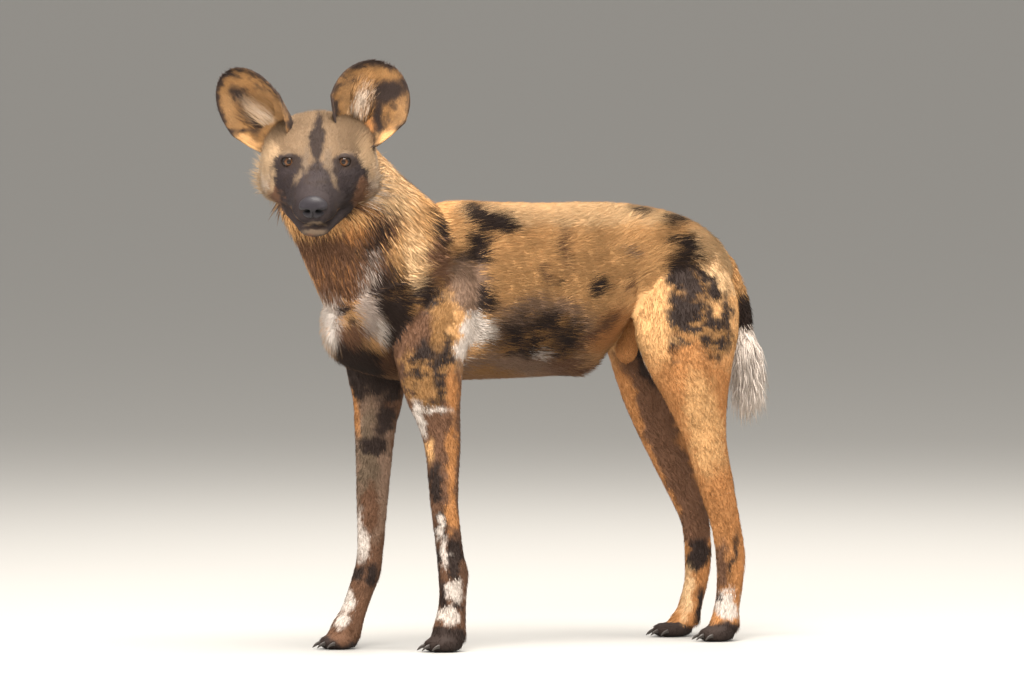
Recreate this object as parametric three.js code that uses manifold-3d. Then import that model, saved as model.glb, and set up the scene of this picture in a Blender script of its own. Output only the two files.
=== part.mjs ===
// African wild dog, life size, standing with its head turned to its left.
// Millimetres. The dog faces -Y, its left side is +X, +Z is up and the floor is Z = 0.
import * as THREE from 'three';
import { mergeVertices } from 'three/addons/utils/BufferGeometryUtils.js';
import Module from 'manifold-3d';

const wasm = await Module();
wasm.setup();
const V = (x, y, z) => new THREE.Vector3(x, y, z);

// Driving dimensions
const GAP = 0.3;              // clearance between touching parts
const SCALE = 1;              // 1 = a male of 0.67 m at the withers
const BODY_SIDES = 20;
const LEG_SIDES = 12;
const HEAD_SIDES = 22;
const EYE_RADIUS = 11;
const EYE_SPACING = 81;
const EYE_LINE = V(92, -423, 739);    // midway between the eyes
const HEAD_TURN = 57;                 // degrees to the dog's left
const HEAD_DROP = 25;                 // degrees below level
const EAR_THICKNESS = 3.6;
const SOLE_HEIGHT = 0;

// Torso sections: y, back, underline, half-width
const TORSO = [
  [-346, 496, 468, 12], [-338, 532, 446, 42], [-318, 572, 428, 62], [-285, 612, 415, 76],
  [-240, 645, 405, 84], [-190, 664, 402, 88], [-133, 671, 401, 91], [-60, 668, 401, 94],
  [10, 665, 402, 94], [70, 665, 406, 90], [110, 664, 430, 84], [145, 662, 470, 77],
  [180, 658, 500, 73], [230, 648, 506, 74], [275, 630, 512, 70], [305, 604, 522, 58],
  [326, 572, 534, 38], [334, 556, 548, 12],
];

// Neck sections along its axis: x, y, z of the centre, half-width, reach to the nape, reach to the throat
const NECK = [
  [0, -188, 550, 84, 106, 160], [0, -248, 598, 82, 98, 136], [3, -303, 655, 77, 86, 112],
  [9, -346, 706, 73, 78, 96], [20, -374, 748, 66, 70, 86],
];

// Leg sections from the root down: z, y, half-length, x, half-width
const FORELEG_LEFT = [
  [610, -158, 22, 52, 14], [570, -176, 46, 58, 26], [520, -196, 62, 63, 31], [460, -214, 64, 69, 31],
  [415, -217, 56, 74, 29], [377, -213, 47, 75, 26], [340, -203, 37, 74, 23.5], [301, -196, 30.5, 73, 21.5],
  [226, -193, 24.5, 72, 19.5], [151, -183, 23.5, 71, 19.5], [120, -176.5, 25.5, 70, 22.5],
  [92, -176, 23.5, 69, 21], [66, -177, 23.5, 68, 21.5], [40, -180, 27, 66, 24], [18, -181, 30, 65, 26],
];
const FORELEG_RIGHT = [
  [610, -160, 22, -52, 14], [570, -180, 46, -58, 26], [520, -202, 62, -63, 31], [460, -222, 62, -70, 31],
  [415, -226, 52, -74, 28], [370, -223, 43.5, -75, 25], [335, -227, 37, -75, 23.5], [295, -230, 32.5, -74, 22],
  [220, -234, 27, -73, 21], [146, -238, 22.5, -72, 19.5], [110, -245, 23.5, -71, 21.5],
  [84, -256, 22.5, -70, 20], [62, -266, 22.5, -69, 20.5], [38, -279, 26, -68, 23], [18, -286, 29, -68, 25],
];
const HINDLEG_LEFT = [
  [600, 238, 30, 40, 14], [565, 240, 66, 50, 24], [520, 236, 88, 58, 32], [470, 229, 92, 68, 36],
  [420, 229, 77, 75, 34], [365, 240.5, 55, 77, 28.5], [305, 257, 37.5, 75, 23.5], [244, 276, 32.5, 71, 21],
  [183, 295, 27.5, 68, 18.5], [150, 303, 26.5, 67, 18], [123, 307, 26, 66, 18.5], [78, 305.5, 22.5, 65, 18.5],
  [50, 301, 22, 65, 19.5], [32, 298, 25, 65, 22], [18, 296, 28, 65, 24],
];
const HINDLEG_RIGHT = [
  [600, 240, 30, -40, 14], [565, 243, 66, -50, 24], [520, 243, 86, -58, 32], [470, 242, 84, -68, 36],
  [420, 246, 68, -74, 34], [358, 254, 52, -75, 28], [298, 272, 41, -72, 24.5], [237, 298, 34.5, -68, 22],
  [177, 320, 26, -64, 18.5], [147, 324, 24.5, -62, 17.5], [120, 325, 24, -61, 18], [86, 322, 21.5, -60, 17.5],
  [48, 311, 21, -60, 18.5], [32, 304, 25, -60, 21.5], [18, 299, 29, -60, 24],
];

// Paws: middle of the toes (x, y), half-length and half-width of the four toes together
const PAWS = {
  foreleg_left: { x: 65, y: -188, length: 33, width: 28 },
  foreleg_right: { x: -68, y: -292, length: 33, width: 27 },
  hindleg_left: { x: 65, y: 286, length: 31, width: 25 },
  hindleg_right: { x: -60, y: 283, length: 36, width: 26 },
};

// Tail sections along its axis: x, y, z, half-width, half-depth, with the brush's core at its end
const TAIL = [
  [0, 292, 598, 17, 22, 22], [0, 322, 572, 19, 20, 20], [0, 346, 535, 20, 19, 19], [0, 360, 502, 21, 20, 20],
  [0, 367, 474, 20, 20, 20], [0, 371, 444, 16, 17, 17], [0, 374, 412, 13, 14, 14], [0, 375, 386, 8, 9, 9],
  [0, 375, 372, 3, 3, 3],
];
// Locks of the tail brush, in tiers down the core: height, count, length, lift, width
const BRUSH_TIERS = [
  [463, 7, 66, 0.3, 20], [444, 7, 70, 0.34, 21], [424, 7, 66, 0.3, 20], [402, 6, 52, 0.24, 18],
];
// Locks of the cheek ruff and throat, in rows down the neck from the head: share of the neck, count, length
const RUFF_ROWS = [[0.9, 12, 54], [0.73, 12, 58], [0.55, 11, 58]];
const RUFF_WIDTH = 25;
const LOCK_THICKNESS = 7;

// Head sections in the head's own frame: forward, top, bottom, half-width
const SKULL = [
  [97, -22, -50, 12], [94, -14, -58, 21], [88, -8, -62, 27], [76, -3, -64, 31.5], [58, 1, -67, 36],
  [40, 6, -69, 42], [22, 12, -74, 51], [6, 20, -78, 61], [-12, 27, -83, 71], [-34, 33, -86, 80],
  [-58, 37, -85, 84], [-80, 38, -78, 80], [-100, 31, -62, 66], [-116, 17, -38, 40],
];
// Lower jaw sections in the head's own frame: forward, top, bottom, half-width
const JAW = [
  [93, -67, -77, 9], [90, -64, -81, 17], [80, -61, -84, 23], [60, -57, -87, 29], [38, -51, -90, 36],
  [16, -47, -93, 44], [-10, -46, -94, 50],
];
// Raised and sunk forms of the face: forward, side, up, reach, height (both sides)
const FACE_FORMS = [
  [-4, 36, 20, 13, 4.5], [8, 42, 0, 12, -5], [-22, 66, -18, 22, 4], [46, 36, -24, 16, -3],
  [72, 27, -52, 15, 3.5], [30, 12, 14, 14, -2], [-45, 60, -50, 30, 5], [60, 30, -13, 14, -2],
];
const FACE_FORMS_MIDDLE = [[-28, 0, 34, 20, -3.5], [14, 0, 15, 12, -2.5], [-84, 0, 42, 16, 3]];

// Ears: base and tip offsets from the eye line (side, forward, up), outward turn of the opening
const EARS = {
  ear_left: { base: [56, -42, 26], tip: [98, -54, 143], turn: 8, halfWidth: 58 },
  ear_right: { base: [-60, -42, 20], tip: [-139, -56, 127], turn: -34, halfWidth: 57 },
};

const radians = (degrees) => (degrees * Math.PI) / 180;

// A solid from a closed geometry, with its shared corners merged.
function solid(geometry) {
  const plain = geometry.clone();
  plain.deleteAttribute('normal');
  plain.deleteAttribute('uv');
  const merged = mergeVertices(plain, 1e-4);
  return new wasm.Manifold(new wasm.Mesh({
    numProp: 3,
    vertProperties: new Float32Array(merged.attributes.position.array),
    triVerts: new Uint32Array(merged.index.array),
  }));
}

// A geometry from a solid.
function geometryOf(body) {
  const mesh = body.getMesh();
  const geometry = new THREE.BufferGeometry();
  geometry.setAttribute('position', new THREE.BufferAttribute(new Float32Array(mesh.vertProperties), 3));
  geometry.setIndex(new THREE.BufferAttribute(new Uint32Array(mesh.triVerts), 1));
  geometry.computeVertexNormals();
  return geometry;
}

// The largest closed surface of a solid, which drops scraps and fills sealed hollows.
function largest(body) {
  const pieces = body.decompose();
  pieces.sort((a, b) => Math.abs(b.volume()) - Math.abs(a.volume()));
  return pieces[0];
}

// A solid with every corner moved out along its normal.
function grown(body, distance = GAP) {
  const geometry = geometryOf(body);
  const place = geometry.attributes.position;
  const normal = geometry.attributes.normal;
  for (let i = 0; i < place.count; i += 1) {
    place.setXYZ(
      i,
      place.getX(i) + normal.getX(i) * distance,
      place.getY(i) + normal.getY(i) * distance,
      place.getZ(i) + normal.getZ(i) * distance,
    );
  }
  geometry.deleteAttribute('normal');
  return new wasm.Manifold(new wasm.Mesh({
    numProp: 3,
    vertProperties: new Float32Array(place.array),
    triVerts: new Uint32Array(geometry.index.array),
  }));
}

const union = (bodies) => bodies.reduce((sum, body) => sum.add(body));
const without = (body, cutters) => cutters.reduce((rest, cutter) => rest.subtract(grown(cutter)), body);

// The part of a solid whose coordinate on one axis lies between two levels.
function between(body, axis, low, high) {
  const size = { x: 4000, y: 4000, z: 4000, [axis]: high - low };
  const box = new THREE.BoxGeometry(size.x, size.y, size.z);
  const middle = { x: 0, y: 0, z: 0, [axis]: (low + high) / 2 };
  box.translate(middle.x, middle.y, middle.z);
  return body.intersect(solid(box));
}

// A closed skin over rings that all have the same number of points.
function loft(rings) {
  const count = rings[0].length;
  const points = [];
  const faces = [];
  rings.forEach((ring) => ring.forEach((p) => points.push(p.x, p.y, p.z)));
  for (let r = 0; r + 1 < rings.length; r += 1) {
    for (let i = 0; i < count; i += 1) {
      const j = (i + 1) % count;
      const a = r * count;
      const b = a + count;
      faces.push(a + i, a + j, b + j, a + i, b + j, b + i);
    }
  }
  [[0, rings[0]], [rings.length - 1, rings[rings.length - 1]]].forEach(([index, ring], end) => {
    const middle = ring.reduce((sum, p) => sum.add(p), V(0, 0, 0)).multiplyScalar(1 / count);
    const centre = points.length / 3;
    points.push(middle.x, middle.y, middle.z);
    for (let i = 0; i < count; i += 1) {
      const j = (i + 1) % count;
      const a = index * count;
      if (end === 0) faces.push(centre, a + j, a + i);
      else faces.push(centre, a + i, a + j);
    }
  });
  const geometry = new THREE.BufferGeometry();
  geometry.setAttribute('position', new THREE.BufferAttribute(new Float32Array(points), 3));
  geometry.setIndex(faces);
  const body = solid(geometry);
  if (body.volume() > 0) return body;
  for (let i = 0; i < faces.length; i += 3) [faces[i], faces[i + 1]] = [faces[i + 1], faces[i]];
  geometry.setIndex(faces);
  return solid(geometry);
}

// An oval ring with its own reach to the top, to the bottom and to both sides.
function oval({ centre, side, up, halfWidth, top, bottom, count, square = 2 }) {
  return Array.from({ length: count }, (_, i) => {
    const angle = (2 * Math.PI * i) / count;
    const c = Math.cos(angle);
    const s = Math.sin(angle);
    const across = Math.sign(c) * Math.abs(c) ** (2 / square) * halfWidth;
    const high = Math.sign(s) * Math.abs(s) ** (2 / square) * (s > 0 ? top : bottom);
    return centre.clone().addScaledVector(side, across).addScaledVector(up, high);
  });
}

// Rows between the given rows, on smooth curves through them.
function smooth(rows, steps) {
  const out = [];
  const last = rows.length - 1;
  for (let r = 0; r < last; r += 1) {
    const [p0, p1, p2, p3] = [rows[Math.max(r - 1, 0)], rows[r], rows[r + 1], rows[Math.min(r + 2, last)]];
    for (let k = 0; k < steps; k += 1) {
      const t = k / steps;
      out.push(p1.map((value, i) => {
        const before = (p2[i] - p0[i]) / 2;
        const after = (p3[i] - p1[i]) / 2;
        return value * (2 * t ** 3 - 3 * t ** 2 + 1) + p2[i] * (3 * t ** 2 - 2 * t ** 3)
          + before * (t ** 3 - 2 * t ** 2 + t) + after * (t ** 3 - t ** 2);
      }));
    }
  }
  out.push(rows[last]);
  return out;
}

// A body of upright sections along Y, such as the torso.
function torsoSolid() {
  return loft(smooth(TORSO, 1).map(([y, back, under, halfWidth]) => {
    const middle = under + (back - under) * 0.52;
    return oval({
      centre: V(0, y, middle), side: V(1, 0, 0), up: V(0, 0, 1), halfWidth,
      top: back - middle, bottom: middle - under, count: BODY_SIDES, square: 2.15,
    });
  }));
}

// A leg of level sections.
function legSolid(rows) {
  return loft(rows.map(([z, y, halfLength, x, halfWidth]) => oval({
    centre: V(x, y, z), side: V(1, 0, 0), up: V(0, 1, 0), halfWidth,
    top: halfLength, bottom: halfLength, count: LEG_SIDES,
  })));
}

// The sections of a bent tube, square to its axis, with their directions.
function tubeSections(rows, steps, inset) {
  const fine = smooth(rows, steps);
  const at = (i) => V(...fine[i].slice(0, 3));
  return fine.map((row, i) => {
    const ahead = at(Math.min(i + 1, fine.length - 1)).sub(at(Math.max(i - 1, 0))).normalize();
    const side = V(1, 0, 0).addScaledVector(ahead, -ahead.x).normalize();
    const up = V().crossVectors(ahead, side).normalize();
    return {
      centre: at(i), ahead, side, up, halfWidth: row[3] - inset, top: row[4] - inset, bottom: row[5] - inset,
    };
  });
}

// A bent tube of ovals, for the neck and the tail.
function tubeSolid(rows, count, steps, inset = 0) {
  return loft(tubeSections(rows, steps, inset).map((section) => oval({ ...section, count })));
}

// A flat lock that tapers and bends: its root sunk, its middle lifted, its tip lying back.
function lockSolid({ root, flow, normal, length, width, thickness, lift, sink }) {
  const across = V().crossVectors(flow, normal).normalize();
  const stations = [[0, 0.8], [0.3, 1], [0.68, 0.72], [1, 0.1]];
  const rings = stations.map(([t, size]) => {
    const rise = length * lift * t * (1.25 - 0.5 * t) - sink * (1 - t) ** 2;
    const centre = root.clone().addScaledVector(flow, length * t).addScaledVector(normal, rise);
    return [[1, 0], [0, 1], [-1, 0], [0, -1]].map(([a, b]) => centre.clone()
      .addScaledVector(across, (a * width * size) / 2)
      .addScaledVector(normal, (b * thickness * (0.35 + 0.65 * size)) / 2));
  });
  return loft(rings);
}

// A repeatable draw of numbers between -1 and 1.
function drawFrom(seed) {
  let state = seed;
  return () => {
    state = (state * 1664525 + 1013904223) % 4294967296;
    return (state / 2147483648) - 1;
  };
}

// Locks round a tube's section, lying along its axis the way given.
function locksRound(section, { count, length, lift, width, sink, way, start, draw }) {
  return Array.from({ length: count }, (_, i) => {
    const angle = (2 * Math.PI * (i + start)) / count + draw() * 0.12;
    const reach = Math.sin(angle) > 0 ? section.top : section.bottom;
    const root = section.centre.clone()
      .addScaledVector(section.side, Math.cos(angle) * section.halfWidth)
      .addScaledVector(section.up, Math.sin(angle) * reach);
    const normal = V().addScaledVector(section.side, Math.cos(angle) / section.halfWidth)
      .addScaledVector(section.up, Math.sin(angle) / reach).normalize();
    const flow = section.ahead.clone().multiplyScalar(way)
      .addScaledVector(section.side, draw() * 0.12).addScaledVector(section.up, draw() * 0.12);
    flow.addScaledVector(normal, -flow.dot(normal)).normalize();
    return lockSolid({
      root, flow, normal, length: length * (1 + draw() * 0.12), width: width * (1 + draw() * 0.15),
      thickness: LOCK_THICKNESS, lift: lift * (1 + draw() * 0.15), sink,
    });
  });
}

// The head's own frame: forward along the muzzle, side to the dog's left, up over the forehead.
const turn = radians(HEAD_TURN);
const drop = radians(HEAD_DROP);
const LEVEL_FORWARD = V(Math.sin(turn), -Math.cos(turn), 0);
const HEAD_SIDE = V(Math.cos(turn), Math.sin(turn), 0);
const HEAD_FORWARD = LEVEL_FORWARD.clone().multiplyScalar(Math.cos(drop)).add(V(0, 0, -Math.sin(drop)));
const HEAD_UP = V().crossVectors(HEAD_FORWARD, HEAD_SIDE);
const inHead = (forward, side, up) => EYE_LINE.clone()
  .addScaledVector(HEAD_FORWARD, forward).addScaledVector(HEAD_SIDE, side).addScaledVector(HEAD_UP, up);

// An ellipsoid with its axes along three given directions.
function ellipsoid(centre, axes, radii, across = 10, down = 8) {
  const geometry = new THREE.SphereGeometry(1, across, down);
  const basis = new THREE.Matrix4().makeBasis(
    axes[0].clone().multiplyScalar(radii[0]),
    axes[1].clone().multiplyScalar(radii[1]),
    axes[2].clone().multiplyScalar(radii[2]),
  );
  basis.setPosition(centre);
  geometry.applyMatrix4(basis);
  return solid(geometry);
}
const HEAD_AXES = [HEAD_SIDE, HEAD_UP, HEAD_FORWARD];
const WORLD_AXES = [V(1, 0, 0), V(0, 1, 0), V(0, 0, 1)];

// Head sections, with the raised and sunk forms of the face pushed in or out.
function headLoft(rows, steps, formed) {
  const forms = FACE_FORMS.flatMap(([f, s, u, reach, height]) => [
    [f, s, u, reach, height], [f, -s, u, reach, height],
  ]).concat(FACE_FORMS_MIDDLE);
  return loft(smooth(rows, steps).map(([f, top, bottom, halfWidth]) => {
    const middle = (top + bottom) / 2 - (top - bottom) * 0.03;
    const ring = oval({
      centre: V(f, 0, middle), side: V(0, 1, 0), up: V(0, 0, 1), halfWidth,
      top: top - middle, bottom: middle - bottom, count: HEAD_SIDES, square: 2.2,
    });
    return ring.map((p) => {
      const outward = V(0, p.y / halfWidth, (p.z - middle) / (top - middle)).normalize();
      let push = 0;
      if (formed) {
        forms.forEach(([ff, fs, fu, reach, height]) => {
          push += height * Math.exp(-V(ff, fs, fu).distanceToSquared(p) / (reach * reach));
        });
      }
      p.addScaledVector(outward, push);
      return inHead(p.x, p.y, p.z);
    });
  }));
}

// Lids: a shell over the eyeball with an almond opening.
function lids(side) {
  const sides = 14;
  const centre = inHead(0, side * EYE_SPACING / 2, 0);
  const outer = EYE_RADIUS + 2.6;
  const inner = EYE_RADIUS + GAP;
  const rows = [[inner, 0], [outer, 0], [outer + 0.6, 0.5], [outer - 1, 1], [inner, 1]];
  const look = HEAD_FORWARD.clone().addScaledVector(HEAD_SIDE, side * 0.25).addScaledVector(HEAD_UP, 0.3).normalize();
  const across = HEAD_SIDE.clone().addScaledVector(look, -HEAD_SIDE.dot(look)).normalize();
  const up = V().crossVectors(look, across).normalize();
  if (up.dot(HEAD_UP) < 0) up.negate();
  const rings = rows.map(([radius, along]) => Array.from({ length: sides }, (_, i) => {
    const a = (2 * Math.PI * i) / sides;
    const almondWide = radians(52);
    const almondHigh = radians(Math.sin(a) > 0 ? 30 : 26);
    const open = Math.hypot(almondWide * Math.cos(a), almondHigh * Math.sin(a));
    const polar = open + (radians(100) - open) * along;
    return centre.clone()
      .addScaledVector(look, radius * Math.cos(polar))
      .addScaledVector(across, radius * Math.sin(polar) * Math.cos(a))
      .addScaledVector(up, radius * Math.sin(polar) * Math.sin(a));
  }));
  return ringTorus(rings);
}

// A closed skin over rings that run round and meet again, such as a lid.
function ringTorus(rings) {
  const count = rings[0].length;
  const points = rings.flatMap((ring) => ring.flatMap((p) => [p.x, p.y, p.z]));
  const faces = [];
  for (let r = 0; r < rings.length; r += 1) {
    const next = (r + 1) % rings.length;
    for (let i = 0; i < count; i += 1) {
      const j = (i + 1) % count;
      faces.push(r * count + i, r * count + j, next * count + j);
      faces.push(r * count + i, next * count + j, next * count + i);
    }
  }
  const geometry = new THREE.BufferGeometry();
  geometry.setAttribute('position', new THREE.BufferAttribute(new Float32Array(points), 3));
  geometry.setIndex(faces);
  const body = solid(geometry);
  if (body.volume() > 0) return body;
  for (let i = 0; i < faces.length; i += 3) [faces[i], faces[i + 1]] = [faces[i + 1], faces[i]];
  geometry.setIndex(faces);
  return solid(geometry);
}

// An ear: a cupped shell, nearly closed at its base and open and round above.
function earSolid({ base, tip, turn: turned, halfWidth }) {
  const across = 8;
  const rows = 11;
  const place = (p) => EYE_LINE.clone().addScaledVector(HEAD_SIDE, p[0])
    .addScaledVector(LEVEL_FORWARD, p[1]).add(V(0, 0, p[2]));
  const foot = place(base);
  const axis = place(tip).sub(foot);
  const height = axis.length();
  axis.normalize();
  const forward = LEVEL_FORWARD.clone().addScaledVector(axis, -LEVEL_FORWARD.dot(axis)).normalize();
  forward.applyAxisAngle(axis, radians(turned));
  const side = V().crossVectors(axis, forward).normalize();
  const rings = [];
  for (let r = 0; r <= rows; r += 1) {
    const v = r / rows;
    const round = Math.sqrt(Math.max(0, 1 - ((v - 0.5) / 0.515) ** 2));
    const flare = 0.42 + 0.58 * Math.min(1, v / 0.42) ** 0.8;
    const half = Math.max(3, halfWidth * (v < 0.5 ? flare : round));
    const open = radians(118 - 66 * Math.min(1, v / 0.6) ** 0.8);
    const radius = half / Math.sin(Math.min(open, Math.PI / 2));
    const depth = 1 - 0.55 * v;
    const centre = foot.clone().addScaledVector(axis, v * height);
    const arc = (offset, a) => centre.clone()
      .addScaledVector(side, (radius + offset) * Math.sin(a))
      .addScaledVector(forward, -(radius * (Math.cos(a) - Math.cos(open)) + offset * Math.cos(a)) * depth);
    const wall = EAR_THICKNESS / 2;
    const ring = [];
    for (let i = 0; i <= across; i += 1) ring.push(arc(wall, open * ((2 * i) / across - 1)));
    for (let i = across; i >= 0; i -= 1) ring.push(arc(-wall, open * ((2 * i) / across - 1)));
    rings.push(ring);
  }
  return loft(rings);
}

// A nose pad with its nostrils and the groove below them.
const nosePad = ellipsoid(inHead(93, 0, -27), HEAD_AXES, [22.5, 17.5, 14], 14, 10);
function noseSolid() {
  const nostrils = [-1, 1].flatMap((s) => [
    ellipsoid(inHead(105, s * 10.5, -30), HEAD_AXES, [5.5, 4.2, 6], 8, 6),
    ellipsoid(inHead(99, s * 19, -33), HEAD_AXES, [6, 2, 8], 8, 5),
  ]);
  const groove = ellipsoid(inHead(106, 0, -36), HEAD_AXES, [1.2, 14, 3.5], 6, 6);
  return largest(nostrils.concat(groove).reduce((body, cut) => body.subtract(cut), nosePad));
}

// A paw: the end of the leg, four toes with claws, and a pad, cut level at the floor.
function pawSolid(leg, { x, y, length, width }) {
  const parts = [between(leg, 'z', 10, 44)];
  const toes = [[-0.72, 0.28, 10.2], [-0.27, -0.02, 11.2], [0.27, -0.02, 11.2], [0.72, 0.28, 10.2]];
  toes.forEach(([across, back, radius]) => {
    const toeX = x + across * width;
    const toeY = y - length * (0.62 - back);
    parts.push(ellipsoid(V(toeX, toeY + 6, 10.5), WORLD_AXES, [radius * 0.84, 19, radius + 1.4], 7, 6));
    const claw = new THREE.ConeGeometry(3, 13, 4);
    claw.rotateX(radians(118));
    claw.translate(toeX, toeY - 15.5, 9);
    parts.push(solid(claw));
  });
  parts.push(ellipsoid(V(x, y + 8, 9), WORLD_AXES, [width * 0.82, length * 0.62, 11], 8, 6));
  return largest(between(union(parts), 'z', SOLE_HEIGHT, 60));
}

// Legs, in parts from the body down
const nodes = {};
const legRoots = [];
function addLeg(name, rows, cuts) {
  const leg = legSolid(rows);
  const [upper, lower] = [cuts[0], cuts[1]];
  nodes[`${name}_${cuts[3]}`] = between(leg, 'z', upper + GAP / 2, 700);
  nodes[`${name}_${cuts[4]}`] = between(leg, 'z', lower + GAP / 2, upper - GAP / 2);
  if (cuts[2]) {
    nodes[`${name}_metatarsus`] = between(leg, 'z', cuts[2] + GAP / 2, lower - GAP / 2);
  }
  const wrist = cuts[2] || lower;
  nodes[`${name}_paw`] = between(pawSolid(leg, PAWS[name]), 'z', SOLE_HEIGHT, 44);
  nodes[`${name}_paw`] = union([nodes[`${name}_paw`], between(leg, 'z', 30, wrist - GAP / 2)]);
  legRoots.push(nodes[`${name}_${cuts[3]}`]);
}
addLeg('foreleg_left', FORELEG_LEFT, [377, 92, 0, 'upper', 'forearm']);
addLeg('foreleg_right', FORELEG_RIGHT, [370, 84, 0, 'upper', 'forearm']);
addLeg('hindleg_left', HINDLEG_LEFT, [345, 150, 62, 'thigh', 'shank']);
addLeg('hindleg_right', HINDLEG_RIGHT, [345, 147, 62, 'thigh', 'shank']);

// Head
const skull = headLoft(SKULL, 2, true);
const jaw = headLoft(JAW, 1, false);
const eyes = [1, -1].map((s) => ellipsoid(
  inHead(0, s * EYE_SPACING / 2, 0), HEAD_AXES, [EYE_RADIUS, EYE_RADIUS, EYE_RADIUS], 14, 10,
));
const ears = Object.fromEntries(Object.entries(EARS).map(([name, ear]) => [name, earSolid(ear)]));
nodes.eye_left = eyes[0];
nodes.eye_right = eyes[1];
nodes.nose = noseSolid();
nodes.lower_jaw = largest(without(jaw, [nosePad]));
const face = union([skull, lids(1), lids(-1)]);
nodes.head = largest(without(face, [jaw, nosePad, eyes[0], eyes[1]]));
nodes.ear_left = largest(without(ears.ear_left, [skull, jaw]));
nodes.ear_right = largest(without(ears.ear_right, [skull, jaw]));

// Torso, neck and tail
const torso = torsoSolid();
const RUFF_INSET = 4;
const neckCore = tubeSolid(NECK, BODY_SIDES, 2, RUFF_INSET);
const neckSections = tubeSections(NECK, 10, RUFF_INSET);
const ruffDraw = drawFrom(41);
const ruff = RUFF_ROWS.flatMap(([share, count, length], row) => locksRound(
  neckSections[Math.round(share * (neckSections.length - 1))],
  { count, length, lift: 0.2, width: RUFF_WIDTH, sink: 9, way: -1, start: row * 0.5, draw: ruffDraw },
));
const neck = union([neckCore, ...ruff]);

const tail = tubeSolid(TAIL, 14, 2);
const tailSections = tubeSections(TAIL, 10, 0);
const brushDraw = drawFrom(7);
const brushLocks = BRUSH_TIERS.flatMap(([height, count, length, lift, width], tier) => {
  const section = tailSections.reduce((best, one) => (
    Math.abs(one.centre.z - height) < Math.abs(best.centre.z - height) ? one : best));
  return locksRound(section, { count, length, lift, width, sink: 5, way: 1, start: tier * 0.5, draw: brushDraw });
});
const trunk = without(torso, legRoots);
nodes.neck = largest(without(neck, [skull, jaw, ears.ear_left, ears.ear_right, torso, ...legRoots]));
nodes.chest = largest(between(trunk, 'y', -400, -60 - GAP / 2));
nodes.belly = largest(between(trunk, 'y', -60 + GAP / 2, 140 - GAP / 2));
nodes.rump = largest(between(trunk, 'y', 140 + GAP / 2, 400));
nodes.tail_base = largest(without(between(tail, 'z', 512 + GAP / 2, 700), [torso]));
nodes.tail_band = largest(between(tail, 'z', 470 + GAP / 2, 512 - GAP / 2));
nodes.tail_brush = largest(between(union([between(tail, 'z', 0, 470), ...brushLocks]), 'z', 0, 470 - GAP / 2));

// Scrotum, hanging from the groin
const purse = union([
  ellipsoid(V(-14, 172, 440), WORLD_AXES, [20, 19, 24], 12, 10),
  ellipsoid(V(-12, 178, 472), WORLD_AXES, [13, 15, 34], 10, 8),
]);
nodes.scrotum = largest(without(purse, [nodes.rump, nodes.belly, ...legRoots]));

// Finishes
const TAN = 0xd3a271;
const DARK = 0x4a3a34;
const finish = (colour, roughness = 0.85) => new THREE.MeshStandardMaterial({ color: colour, roughness, metalness: 0 });
const FINISHES = {
  eye_left: finish(0x3a2216, 0.1), eye_right: finish(0x3a2216, 0.1), nose: finish(0x2c2729, 0.45),
  tail_band: finish(DARK), tail_brush: finish(0xe6dcd2), lower_jaw: finish(DARK), scrotum: finish(0x7a5540),
};

const dog = new THREE.Group();
Object.entries(nodes).forEach(([name, body]) => {
  const mesh = new THREE.Mesh(geometryOf(body), FINISHES[name] || finish(TAN));
  mesh.name = name;
  dog.add(mesh);
});

// The origin is the middle of the dog's box at the floor.
const box = new THREE.Box3().setFromObject(dog);
dog.position.set(-(box.min.x + box.max.x) / 2, -(box.min.y + box.max.y) / 2, 0);
dog.scale.setScalar(SCALE);
const model = new THREE.Group();
model.add(dog);
export default model;
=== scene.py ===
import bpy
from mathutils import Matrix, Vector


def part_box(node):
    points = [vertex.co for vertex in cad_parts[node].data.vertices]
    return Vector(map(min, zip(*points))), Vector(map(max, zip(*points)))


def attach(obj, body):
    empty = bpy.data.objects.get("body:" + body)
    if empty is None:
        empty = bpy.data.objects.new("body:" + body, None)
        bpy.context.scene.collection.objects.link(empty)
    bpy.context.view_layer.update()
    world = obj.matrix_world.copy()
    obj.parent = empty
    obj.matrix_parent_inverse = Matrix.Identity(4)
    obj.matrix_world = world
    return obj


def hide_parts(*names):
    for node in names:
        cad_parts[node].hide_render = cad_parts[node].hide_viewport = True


bl_info = {
    "name": "African wild dog",
    "version": (1, 0, 0),
    "blender": (4, 5, 0),
    "location": "View3D > Sidebar > Wild Dog",
    "description": "Dresses a life-size African wild dog in skin, coat, eyes, nose and claws",
    "category": "Object",
}

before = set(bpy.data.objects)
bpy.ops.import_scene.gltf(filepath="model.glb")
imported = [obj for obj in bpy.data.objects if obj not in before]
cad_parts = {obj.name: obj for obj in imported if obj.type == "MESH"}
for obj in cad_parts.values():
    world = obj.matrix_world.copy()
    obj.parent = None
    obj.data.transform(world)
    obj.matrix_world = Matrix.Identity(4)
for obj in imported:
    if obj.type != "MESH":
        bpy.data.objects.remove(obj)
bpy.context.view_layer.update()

import math

import bpy
import numpy as np
from mathutils import Vector
from mathutils.kdtree import KDTree

MM = 0.001

# The maker's frame: millimetres, the dog faces -Y, its left side is +X, the floor is Z = 0.
EYE_LINE = np.array([92.0, -423.0, 739.0])
EYE_SPACING = 81.0
EYE_RADIUS = 11.0
SOCKET_GAP = 0.35
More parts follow.
